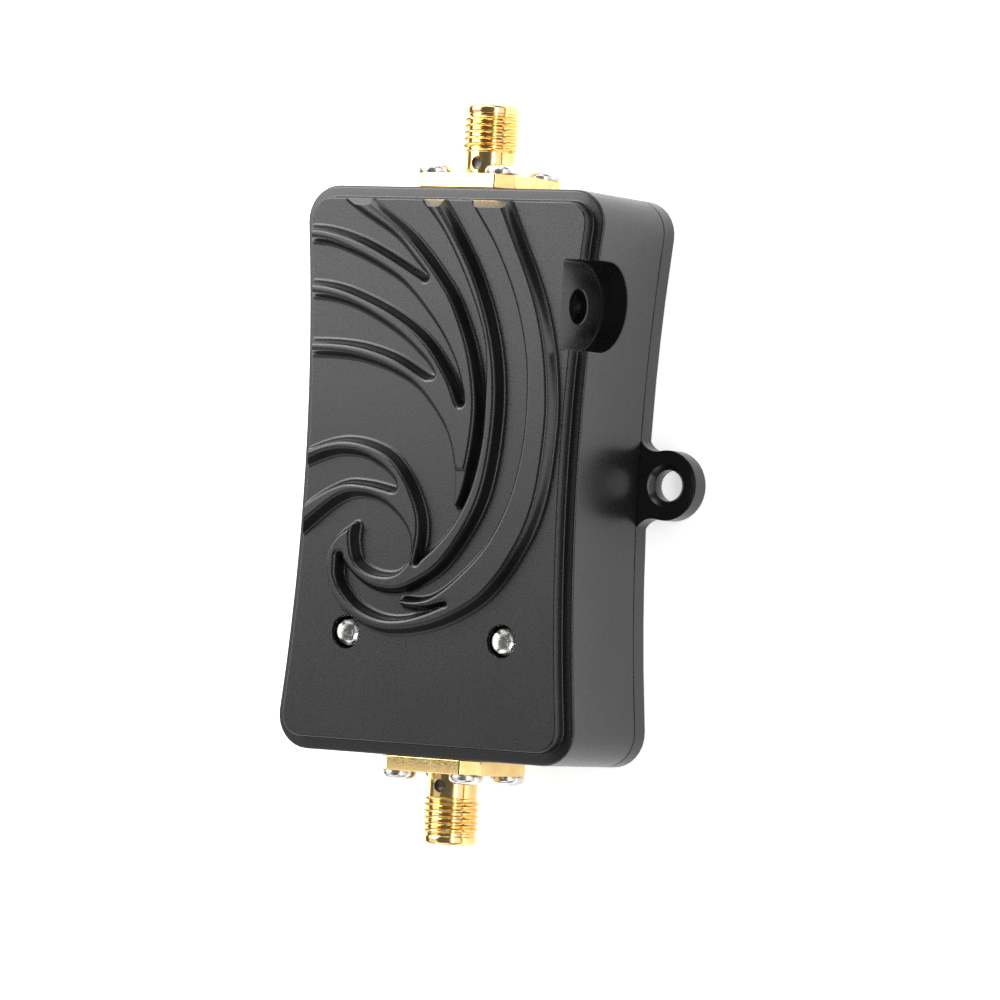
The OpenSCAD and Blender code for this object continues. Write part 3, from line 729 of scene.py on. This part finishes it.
# height of the ribs where they are not TALL_RIBS
SPIKE_HEIGHT = 0.85 * RIB_HEIGHT

# height of the front against the distance from its outer edge
SHOULDER = [
    (0.0, LEDGE_Z - 0.3), (0.025, LEDGE_Z - 0.19), (0.09, LEDGE_Z - 0.09), (0.18, LEDGE_Z - 0.03),
    (0.3, LEDGE_Z), (1.12, LEDGE_Z), (1.22, LEDGE_Z + 0.02), (1.3, LEDGE_Z + 0.09),
    (1.335, LEDGE_Z + 0.2), (1.39, PANEL_Z - 0.24), (1.415, PANEL_Z - 0.14),
    (1.48, PANEL_Z - 0.05), (1.56, PANEL_Z - 0.01), (1.64, PANEL_Z),
]
# height of a rib against the distance from its top edge, below zero towards its middle
RIB_SIDE = [
    (-0.42, 1.0), (-0.3, 0.992), (-0.18, 0.967), (-0.08, 0.92), (0.01, 0.84), (0.1, 0.65),
    (0.19, 0.43), (0.27, 0.245), (0.35, 0.125), (0.46, 0.05), (0.6, 0.012), (0.75, 0.0),
]
# inset and height of the rounded edge along the seam
SEAM_EDGE = ((0.0, SEAM_Z + 0.2), (0.03, SEAM_Z + 0.09), (0.12, SEAM_Z + 0.02), (0.3, SEAM_Z))
OUTER = section("housing", SEAM_Z + 0.5)[0]
RIBS = section("housing", PANEL_Z + 0.03)
TALL_RIBS = section("housing", PANEL_Z + (RIB_HEIGHT + SPIKE_HEIGHT) / 2)


def profile(value, table):
    return np.interp(value, *zip(*table))


def steepness(value, table, scale=1.0, first=0.0):
    """Slope of a profile, smoothed over its corners and level beyond its ends."""
    at, height = np.array(table).T
    angles = np.arctan(scale * np.diff(height) / np.diff(at))
    corners = np.concatenate([[math.atan(first)], (angles[1:] + angles[:-1]) / 2, [0.0]])
    return np.interp(value, at, np.tan(corners))


def front(points):
    """Height and upward normals of the housing's front at points of the (x, y) plane.
    The second normal is that of the rib ends' slope."""
    border, outward = signed_distance(points, [OUTER])
    border, inward = -border, -outward
    ribs, off_rib = signed_distance(points, RIBS)
    tall, off_tall = signed_distance(points, TALL_RIBS)
    rise = profile(ribs, RIB_SIDE)
    fall = steepness(ribs, RIB_SIDE, RIB_HEIGHT)[:, None] * off_rib
    spike = SPIKE_HEIGHT / RIB_HEIGHT
    above = np.maximum(spike, np.minimum(rise, profile(tall, RIB_SIDE)))
    capped = (border > STEPS_FROM) & (rise > spike)
    on_step = capped & (profile(tall, RIB_SIDE) < rise - 1e-6)
    step_fall = steepness(tall, RIB_SIDE, RIB_HEIGHT)[:, None] * off_tall
    step_fall[above <= spike + 1e-6] = 0
    fall = np.where(on_step[:, None], step_fall, fall)
    rise = np.where(capped, above, rise)
    fall[border < PANEL_INSET] = 0
    slope = np.clip((border - PANEL_INSET) / RIB_END_RUN, 0, 1)
    height = profile(border, SHOULDER) + RIB_HEIGHT * np.minimum(rise, slope)
    base = steepness(border, SHOULDER, first=40.0)[:, None] * inward
    end = np.where(slope > 0, RIB_HEIGHT / RIB_END_RUN, 0.0)[:, None] * inward
    return height, upward(base + fall), upward(base + end), rise > slope + 1e-4


def upward(gradient):
    normal = np.column_stack([-gradient, np.ones(len(gradient))])
    return normal / np.linalg.norm(normal, axis=1)[:, None]


def front_lines():
    """Lines that the front's surface must follow: its steps, the ribs' sides and their ends."""
    lines = [(inset_loop(OUTER, d), True) for d, _ in SHOULDER]
    grid = Grid(OUTER.min(0) - 0.5, OUTER.max(0) + 0.5, 0.1)
    ribs = grid.near_distance(RIBS, 0.9)
    border = -grid.near_distance([OUTER], 3.2)
    on_panel = border > PANEL_INSET - 0.15
    for level, _ in RIB_SIDE:
        lines += grid.level_lines(ribs, level, on_panel)
    over = profile(ribs, RIB_SIDE) - (border - PANEL_INSET) / RIB_END_RUN
    lines += grid.level_lines(over, 0.0, on_panel & (border < PANEL_INSET + 1.3 * RIB_END_RUN))
    tall = grid.near_distance(TALL_RIBS, 0.9)
    near_spike = (ribs < tall - 0.03) & (border > STEPS_FROM)
    for level, share in RIB_SIDE:
        if share * RIB_HEIGHT > SPIKE_HEIGHT - 0.1:
            lines += grid.level_lines(tall, level, near_spike)
    return lines


def front_surface():
    """Points and triangles of the whole front, out to its outer edge."""
    coords, edges = [], []
    for line, closed in front_lines():
        start = len(coords)
        coords += [Vector(p) for p in line]
        count = len(line)
        edges += [(start + i, start + i + 1) for i in range(count - 1)]
        if closed:
            edges.append((start + count - 1, start))
    flat, _, tris, *_ = delaunay_2d_cdt(coords, edges, [], 0, 1e-4)
    flat = np.array([tuple(p) for p in flat])
    tris = np.array([t for t in tris if len(t) == 3])
    tris = tris[inside(flat[tris].mean(1), [OUTER])]
    return flat, front(flat)[0], tris


def rim_of(faces):
    """The points round the open edge of a sheet of faces, in order."""
    sides = [(a, b) for face in faces for a, b in zip(face, face[1:] + face[:1])]
    both_ways = set(sides)
    following = {a: b for a, b in sides if (b, a) not in both_ways}
    start = next(iter(following))
    loop = [start]
    while following[loop[-1]] != start:
        loop.append(following[loop[-1]])
    return loop


def solid_front():
    """Closed solid of the housing's outside, down to the seam."""
    flat, height, tris = front_surface()
    verts = [(x, y, z) for (x, y), z in zip(flat, height)]
    faces = [tuple(t) for t in tris]
    loop = rim_of(faces)
    rows = [loop]
    ring = np.array([flat[i] for i in loop])
    for inset, z in SEAM_EDGE:
        moved = inset_loop(ring, inset)
        rows.append(list(range(len(verts), len(verts) + len(ring))))
        verts += [(x, y, z) for x, y in moved]
    n = len(loop)
    for high, low in zip(rows, rows[1:]):
        faces += [(high[(i + 1) % n], high[i], low[i], low[(i + 1) % n]) for i in range(n)]
    faces.append(tuple(reversed(rows[-1])))
    return piece("housing_solid", verts, faces)


POCKET_R = 4.9
POCKET_STEPS = 40
# distance of the pocket's floor from the power socket's body
POCKET_GAP = 1.25
right_side = OUTER[OUTER[:, 0] > 14]
right_side = right_side[np.argsort(right_side[:, 1])]
SIDE_LINE = (right_side[:, 1], right_side[:, 0])


def jack_cutter():
    """The D-shaped pocket: its rim is rounded where it meets the side, and its floor has a fillet."""
    axis = (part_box("jack_pin")[0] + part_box("jack_pin")[1]) / 2 / MM
    floor_x = box_mm("jack_body")[1].x + POCKET_GAP
    turns = [math.pi + math.pi * i / POCKET_STEPS for i in range(POCKET_STEPS + 1)]
    top = RIB_TOP + 3
    # x, growth of the radius, and whether x counts from the side wall
    rings = ((floor_x, -0.3, False), (floor_x + 0.09, -0.09, False), (floor_x + 0.3, 0, False),
             (-0.3, 0, True), (-0.09, 0.03, True), (0.0, 0.16, True), (0.4, 0.5, True))
    verts = []
    for x, grow, on_side in rings:
        r = POCKET_R + grow
        outline = [(axis.y + r, top)]
        outline += [(axis.y + r * math.cos(a), axis.z + r * math.sin(a)) for a in reversed(turns)]
        outline.append((axis.y - r, top))
        for y, z in outline:
            side_x = float(np.interp(y, *SIDE_LINE)) if on_side else 0.0
            verts.append((x + side_x, y, z))
    n = len(verts) // len(rings)
    faces = [tuple(range(n)), tuple(len(verts) - 1 - i for i in range(n))]
    for k in range(len(rings) - 1):
        for i in range(n):
            j = (i + 1) % n
            faces.append((k * n + j, k * n + i, (k + 1) * n + i, (k + 1) * n + j))
    return piece("pocket_cutter", verts, faces), axis, floor_x


def turned_along(obj, place, direction):
    """Lays a solid turned about Z along another direction, with its origin at a place."""
    obj.matrix_world = Matrix.Translation(place) @ Vector((0, 0, 1)).rotation_difference(
        Vector(direction)).to_matrix().to_4x4()
    return obj


# distance out of the pocket's floor, and radius
PLUG_HOLE = [(-2, 1.8), (-0.32, 1.8), (-0.1, 1.86), (0.02, 2.05), (1, 3.0)]
# height above the panel, and radius
LAMP_HOLE = [(-0.32, 1.75), (-0.2, 1.78), (-0.07, 1.87), (0.02, 2.05), (0.5, 2.6)]
LAMPS = ("power_lamp", "link_lamp")
# level at which the screws' holes part the end wall, and how far inside the sides the block lies at least
BLOCK_LEVEL = LEDGE_Z - 2.7
BLOCK_MARGIN = 1.2


def end_block():
    """A block out of the end wall behind the -Y flange. Apart from it the housing's mesh is solid inside."""
    widest = OUTER[:, 0].max() - BLOCK_MARGIN
    outline = next(loop for loop in section("housing", BLOCK_LEVEL) if np.abs(loop[:, 0]).max() < widest)
    return prism("end_block", outline, SEAM_Z - 1, CEILING_Z)


def lamp_hole(lamp):
    low, high = box_mm(lamp)
    rows = [(CEILING_Z - 1, LAMP_HOLE[0][1])] + [(PANEL_Z + z, r) for z, r in LAMP_HOLE]
    hole = revolve("lamp_hole", rows, 56)
    hole.location = ((low.x + high.x) / 2, (low.y + high.y) / 2, 0)
    return hole


def housing_cutters():
    block = end_block()
    pocket, axis, floor_x = jack_cutter()
    plug_hole = turned_along(revolve("plug_hole", PLUG_HOLE, 48), (floor_x, axis.y, axis.z), (1, 0, 0))
    holes = [lamp_hole(lamp) for lamp in LAMPS]
    bpy.context.view_layer.update()
    return block, joined([pocket] + holes, "front_cutters"), plug_hole


def set_housing_normals(obj):
    """Exact normals on the front, the sides and the pocket's floor; the rest is smooth up to sharp edges."""
    mesh = obj.data
    mesh.shade_smooth()
    mesh.set_sharp_from_angle(angle=SHARP_ANGLE)
    normals = values(mesh.corner_normals, "vector", 3, np.float32)
    vertex = values(mesh.loops, "vertex_index", 1, int)
    coords = values(mesh.vertices, "co")
    size = values(mesh.polygons, "loop_total", 1, int)
    centre = values(mesh.polygons, "center")
    facing = values(mesh.polygons, "normal")

    height, rib_n, end_n, on_end = front(centre[:, :2])
    own = np.where(on_end[:, None], end_n, rib_n)
    on_front = (np.abs(height - centre[:, 2]) < 0.05) & (facing[:, 2] > 0.02)
    is_front = on_front & ((own * facing).sum(1) > 0.75)
    border, outward = signed_distance(centre[:, :2], [OUTER])
    on_wall = (centre[:, 2] > SEAM_Z + 0.1) & (centre[:, 2] < LEDGE_Z) & (np.abs(border) < 0.6)
    faces_out = np.abs((facing[:, :2] * outward).sum(1)) > 0.975
    is_side = (np.abs(facing[:, 2]) < 0.05) & ((on_wall & faces_out) | (np.abs(border) < 0.02))

    of_face = np.repeat(np.arange(len(size)), size)
    _, rib_v, end_v, _ = front(coords[:, :2])
    front_normals = np.where(on_end[of_face][:, None], end_v[vertex], rib_v[vertex])
    normals[is_front[of_face]] = front_normals[is_front[of_face]]
    _, inward = nearest(coords[:, :2], [inset_loop(OUTER, 1.0)])
    flat_out = np.column_stack([-inward, np.zeros(len(inward))])
    normals[is_side[of_face]] = flat_out[vertex][is_side[of_face]]
    pocket_floor = (facing[:, 0] > 0.999) & (border < -0.5)
    normals[pocket_floor[of_face]] = (1, 0, 0)
    mesh.normals_split_custom_set(normals.tolist())


def build_housing():
    obj = solid_front()
    for cutter in housing_cutters():
        boolean(obj, cutter)
    merge_slivers(obj)
    set_housing_normals(obj)
    place(obj, "cast_housing", "housing", nodes=["housing"], shaded=True)


# ---------------------------------------------------------------- threads and screws

THREAD_FORM = ((0.0, 0.1, 0.42, 0.58, 0.9, 1.0), (0, 0, 1, 1, 0, 0))
PAN_HEAD = [  # height and radius, as shares of the head's
    (0.0, 0.93), (0.03, 0.985), (0.1, 1.0), (0.4, 1.0), (0.58, 0.965), (0.74, 0.88),
    (0.88, 0.72), (0.97, 0.5), (1.0, 0.25),
]
FINE_PITCH = 0.4
# radius of a thread's root, as a share of the shank's
ROOT_SHARE = 0.78
SHANK_R = 0.99
HEAD_R = 1.9
HEAD_T = 1.1
BOARD_HEAD_T = 1.2
FLANGE_HEAD_R = 1.85


def thread_radius(turn, root, crest):
    """Radius of a right-hand thread round one level, as a function of the angle."""

    def radius(angle):
        phase = (turn - angle / (2 * math.pi)) % 1
        return root + (crest - root) * float(np.interp(phase, *THREAD_FORM))

    return radius


def thread_rows(start, end, pitch, root, crest, per_turn=12):
    """Rows of a thread that fades in and out over its first and last half turn."""
    count = round((end - start) / pitch * per_turn)
    rows = []
    for k in range(count + 1):
        z = start + (end - start) * k / count
        fade = min(1.0, 2 * (z - start) / pitch, 2 * (end - z) / pitch)
        rows.append((z, thread_radius(z / pitch, root, root + fade * (crest - root))))
    return rows


def cross_cutter(reach, depth, width=0.5):
    """A tapered cross, sunk to a depth below z = 0."""
    rings = []
    for z, long, wide in ((-depth, 0.45, 0.6), (0, 1, 1), (1, 1.4, 1.3)):
        a, b = reach * long, width / 2 * wide
        corners = ((a, b), (b, b), (b, a))
        ring = [(x, y, z) for x, y in corners]
        for _ in range(3):
            corners = tuple((-y, x) for x, y in corners)
            ring += [(x, y, z) for x, y in corners]
        rings.append(ring)
    return loft("cross_cutter", rings)


def pan_screw(head_r, head_t, grip):
    """Pan head screw along +Z that seats on z = 0."""
    root = ROOT_SHARE * SHANK_R
    rows = [(-grip, 0.5 * root), (-grip + 0.3, root)]
    rows += thread_rows(-grip + 0.35, -0.1, FINE_PITCH, root, SHANK_R, 8)
    rows += [(height * head_t, share * head_r) for height, share in PAN_HEAD]
    cutter = cross_cutter(0.66 * head_r, 0.6 * head_t)
    cutter.location.z = head_t
    bpy.context.view_layer.update()
    return boolean(revolve("pan_screw", rows, 40), cutter)


def flat_screw(head_r, head_t, length):
    """Countersunk screw along +Z whose flat face is z = 0."""
    root = ROOT_SHARE * SHANK_R
    rows = [(-length, 0.5 * root), (-length + 0.3, root)]
    rows += thread_rows(-length + 0.35, -head_t - 0.4, FINE_PITCH, root, SHANK_R, 8)
    rows += [(-head_t, SHANK_R), (-0.13, head_r * 0.94), (-0.04, head_r * 0.985), (0, head_r * 0.96)]
    return boolean(revolve("flat_screw", rows, 40), cross_cutter(0.55 * head_r, 0.7))


def corner_places(node, margin):
    """Four points that lie a margin inside the corners of a CAD node's box, seen from the front."""
    low, high = box_mm(node)
    return [(x, y) for x in (low.x + margin, high.x - margin) for y in (low.y + margin, high.y - margin)]


def random_turn():
    return Matrix.Rotation(random.uniform(0, 2 * math.pi), 4, "Z")


def build_case_screws():
    low, high = box_mm("base_screws")
    screw = flat_screw(HEAD_R, HEAD_T, high.z - low.z)
    flip = Matrix.Rotation(math.pi, 4, "X")
    spots = [Matrix.Translation((x, y, low.z)) @ flip @ random_turn()
             for x, y in corner_places("base_screws", HEAD_R)]
    place(copies(screw, "case_screws", spots), "case_screws", "steel", nodes=["base_screws"])


def build_board_screws():
    low, high = box_mm("board_screws")
    seat = high.z - BOARD_HEAD_T
    screw = pan_screw(HEAD_R, BOARD_HEAD_T, seat - low.z)
    spots = [Matrix.Translation((x, y, seat)) @ random_turn()
             for x, y in corner_places("board_screws", HEAD_R)]
    place(copies(screw, "post_screws", spots), "post_screws", "nickel", nodes=["board_screws"])


# ---------------------------------------------------------------- coaxial sockets

FACE_Y = case_high.y
contact_low, contact_high = box_mm("antenna_contact")
AXIS_Z = (contact_low.z + contact_high.z) / 2
CONTACT_R = (contact_high.z - contact_low.z) / 2
TAIL = FACE_Y - contact_low.y
socket_low, socket_high = box_mm("antenna_socket")
FLANGE_W = socket_high.x - socket_low.x
FLANGE_T = 1.65
BARREL = socket_high.y - FACE_Y
TIP = contact_high.y - FACE_Y
NECK_R = 2.75
NECK_END = FLANGE_T + 2.7
THREAD_R = 3.175
THREAD_ROOT_R = 2.79
THREAD_PITCH = 0.706
LEAD_R = 2.95
INSULATOR_R = 2.05
MOUTH_R = 2.3
POTTING_R = 0.7
POTTING_Z = FLANGE_T + 1.4
FLANGE_CHAMFER = 1.7
FLANGE_HOLE_R = 1.3
FLANGE_HOLES = [(x, y) for x in (-4.32, 4.32) for y in (-4.32, 4.32)]
END_WALL = 3.2
COLLET_BORE_R = 0.44
ENDS = {"antenna": 1, "radio": -1}


def end_matrix(side):
    """Carries +Z to the way out of the +Y end (side 1) or the -Y end (side -1), on the sockets' axis."""
    turn = Matrix.Rotation(0 if side > 0 else math.pi, 4, "Z")
    out = Matrix.Translation((0, FACE_Y, AXIS_Z)) @ Matrix.Rotation(-math.pi / 2, 4, "X")
    return turn @ out


def potting_matrix():
    """Carries +Z to the way the potting hole faces, from the socket's axis."""
    return Matrix.Translation((0, 0, POTTING_Z)) @ Matrix.Rotation(math.pi / 2, 4, "X")


def flange():
    half, cut = FLANGE_W / 2, FLANGE_W / 2 - FLANGE_CHAMFER
    outline = [(half, -cut), (half, cut), (cut, half), (-cut, half),
               (-half, cut), (-half, -cut), (-cut, -half), (cut, -half)]
    plate = prism("flange", outline, 0, FLANGE_T)
    hole = revolve("flange_hole", [(-1, FLANGE_HOLE_R), (FLANGE_T + 1, FLANGE_HOLE_R)], 40)
    spots = [Matrix.Translation((x, y, 0)) for x, y in FLANGE_HOLES]
    boolean(plate, copies(hole, "flange_holes", spots))
    return soften(plate, 0.13, 3)


def socket_body():
    """Flange and threaded barrel in one, along +Z."""
    lead = BARREL - 1.0
    rows = [(0.4, NECK_R), (NECK_END - 0.05, NECK_R), (NECK_END, THREAD_ROOT_R)]
    rows += thread_rows(NECK_END + 0.04, lead - 0.04, THREAD_PITCH, THREAD_ROOT_R, THREAD_R)
    rows += [(lead, THREAD_ROOT_R), (lead + 0.05, LEAD_R - 0.05), (lead + 0.12, LEAD_R),
             (BARREL - 0.3, LEAD_R), (BARREL - 0.1, LEAD_R - 0.1), (BARREL, LEAD_R - 0.25)]
    body = boolean(flange(), revolve("barrel", rows, 96), "UNION")
    boolean(body, revolve("bore", [
        (-1, INSULATOR_R), (TIP, INSULATOR_R), (TIP + 0.01, MOUTH_R), (BARREL - 0.12, MOUTH_R),
        (BARREL + 0.1, MOUTH_R + 0.2)], 96))
    hole = revolve("potting_hole", [(INSULATOR_R - 1, POTTING_R), (NECK_R - 0.07, POTTING_R),
                                    (NECK_R + 0.4, POTTING_R + 0.5)], 48)
    hole.matrix_world = potting_matrix()
    return boolean(body, hole)


def insulator():
    """White sleeve round the contact, from the inside of the end wall to the socket's mouth."""
    return revolve("insulator", [
        (-END_WALL, INSULATOR_R - 0.08), (-END_WALL + 0.1, INSULATOR_R),
        (TIP - 0.1, INSULATOR_R), (TIP, INSULATOR_R - 0.1), (TIP, CONTACT_R + 0.12),
        (TIP - 0.12, CONTACT_R), (-END_WALL, CONTACT_R)], 64, hollow=True)


def collet():
    """Centre contact: a solid tail, and four sprung fingers round the bore at its tip."""
    pin = revolve("collet", [
        (-TAIL, 0.4), (-TAIL + 0.12, 0.58), (-TAIL + 0.25, CONTACT_R), (TIP - 2.9, CONTACT_R),
        (TIP - 2.7, CONTACT_R - 0.03), (TIP - 0.15, CONTACT_R - 0.03), (TIP - 0.04, 0.55),
        (TIP, 0.49)], 40)
    boolean(pin, revolve("pin_bore", [
        (TIP - 3, 0.1), (TIP - 2.9, COLLET_BORE_R), (TIP - 0.08, COLLET_BORE_R), (TIP + 0.1, 0.55)], 32))
    for across, along in ((0.09, 1.0), (1.0, 0.09)):
        ring = [(across, -along), (across, along), (-across, along), (-across, -along)]
        boolean(pin, prism("slit", ring, TIP - 2.8, TIP + 1))
    return pin


def potting():
    """Resin plug in the neck's side hole, with a hollow meniscus."""
    plug = revolve("potting", [
        (INSULATOR_R + 0.06, POTTING_R - 0.02), (NECK_R - 0.12, POTTING_R - 0.02),
        (NECK_R - 0.18, 0.56), (NECK_R - 0.22, 0.3), (NECK_R - 0.23, 0.05)], 40)
    plug.matrix_world = potting_matrix()
    return plug


def build_sockets():
    masters = {
        "socket": (socket_body(), "gold"),
        "insulator": (insulator(), "fluoropolymer"),
        "contact": (collet(), "gold"),
        "potting": (potting(), "potting"),
    }
    for end, side in ENDS.items():
        for part, (master, slot) in masters.items():
            obj = twin(master, end_matrix(side))
            place(obj, f"{end}_{part}_detail", slot, nodes=[f"{end}_{part}"])
    for master, _ in masters.values():
        bpy.data.objects.remove(master)


def build_flange_screws():
    for end, side in ENDS.items():
        low, high = box_mm("antenna_screws")
        screw = pan_screw(FLANGE_HEAD_R, HEAD_T, high.y - low.y - HEAD_T)
        spots = [end_matrix(side) @ Matrix.Translation((x, y, FLANGE_T)) @ random_turn()
                 for x, y in FLANGE_HOLES]
        place(copies(screw, f"{end}_flange_screws", spots), f"{end}_flange_screws", "nickel",
              nodes=[f"{end}_screws"])


# ---------------------------------------------------------------- lamps

LENS_R = 1.5
# height above the lamp's foot, and radius
LAMP_COLLAR = [(0.0, 1.72), (0.08, 1.82), (0.16, 1.85), (0.76, 1.85), (0.86, 1.8), (0.9, 1.7),
               (0.92, LENS_R)]
# height from the reflector's rim, and radius: up the outside and down into the cup
CUP = [(-0.95, 0.3), (-0.85, 0.7), (-0.1, 1.22), (0.0, 1.25), (0.02, 1.2), (0.0, 1.14), (-0.5, 0.45),
       (-0.54, 0.1)]


POST_W = 0.44
POST_REACH = 1.3


def lamp_body(low, high):
    """Clear moulded lamp: a collar, a straight body and a domed lens."""
    rows = [(low.z + z, r) for z, r in LAMP_COLLAR]
    rows.append((high.z - LENS_R, LENS_R))
    for step in range(1, 12):
        a = math.radians(8 * step)
        rows.append((high.z - LENS_R + LENS_R * math.sin(a), LENS_R * math.cos(a)))
    rows.append((high.z, 0.03))
    return revolve("lamp_body", rows, 56)


def lamp_inside(low, high):
    """Lead frame inside the resin: a post with a reflector cup, and a second post beside it."""
    rim = high.z - 1.6
    cup = revolve("cup", [(rim + z, r) for z, r in CUP], 40)
    posts = []
    for side, top, inner in ((-1, rim - 0.7, 0.1), (1, rim - 0.35, 0.75)):
        outer, half = side * POST_REACH, POST_W / 2
        outline = [(-half, outer), (-half, side * inner), (half, side * inner), (half, outer)]
        posts.append(soften(prism("post", outline, low.z + 0.2, top), 0.06, 2))
    return joined([cup] + posts, "lead_frame")


def build_lamps():
    for name in LAMPS:
        low, high = box_mm(name)
        centre = Matrix.Translation(((low.x + high.x) / 2, (low.y + high.y) / 2, 0))
        body = lamp_body(low, high)
        body.matrix_world = centre
        place(body, f"{name}_lens", "clear", nodes=[name])
        frame_in_lamp = lamp_inside(low, high)
        frame_in_lamp.matrix_world = centre
        place(frame_in_lamp, f"{name}_reflector", "nickel")


# ---------------------------------------------------------------- CAD nodes that stay

EDGE_WIDTHS = {
    "base_plate": 0.2, "circuit_board": 0.06, "thermal_pad": 0.08, "jack_body": 0.15, "jack_pin": 0.05,
    "jack_terminals": 0.05, "jack_spring": 0.04, "lamp_leads": 0.03, "shield_frame": 0.04,
    "shield_lid": 0.08, "power_amplifier": 0.08, "low_noise_amplifier": 0.05, "antenna_switch": 0.05,
    "power_detector": 0.05, "regulator": 0.1, "power_inductor": 0.18, "bulk_capacitors": 0.16,
    "chip_parts": 0.05,
}


def finish_node(node, obj):
    """Gives a CAD node its material and rounded edges. Its own mesh stays as it is."""
    slot = next(s["material_slot"] for s in frame["record"]["subparts"] if s["node"] == node)
    obj.data.materials.clear()
    obj.data.materials.append(MATERIALS[slot])
    if node not in EDGE_WIDTHS:
        return
    obj.data.shade_smooth()
    weld = obj.modifiers.new("weld", "WELD")
    weld.merge_threshold = 1e-6
    flat = obj.modifiers.new("flat", "DECIMATE")
    flat.decimate_type = "DISSOLVE"
    flat.angle_limit = math.radians(1)
    bevel = obj.modifiers.new("edges", "BEVEL")
    bevel.width = EDGE_WIDTHS[node] * MM
    bevel.segments = 2
    bevel.angle_limit = BEVEL_ANGLE
    normals = obj.modifiers.new("normals", "WEIGHTED_NORMAL")
    normals.keep_sharp = True


add_camera()
add_studio()
build_housing()
build_sockets()
build_flange_screws()
build_case_screws()
build_board_screws()
build_lamps()
for cad_node, cad_obj in frame["nodes"].items():
    finish_node(cad_node, cad_obj)
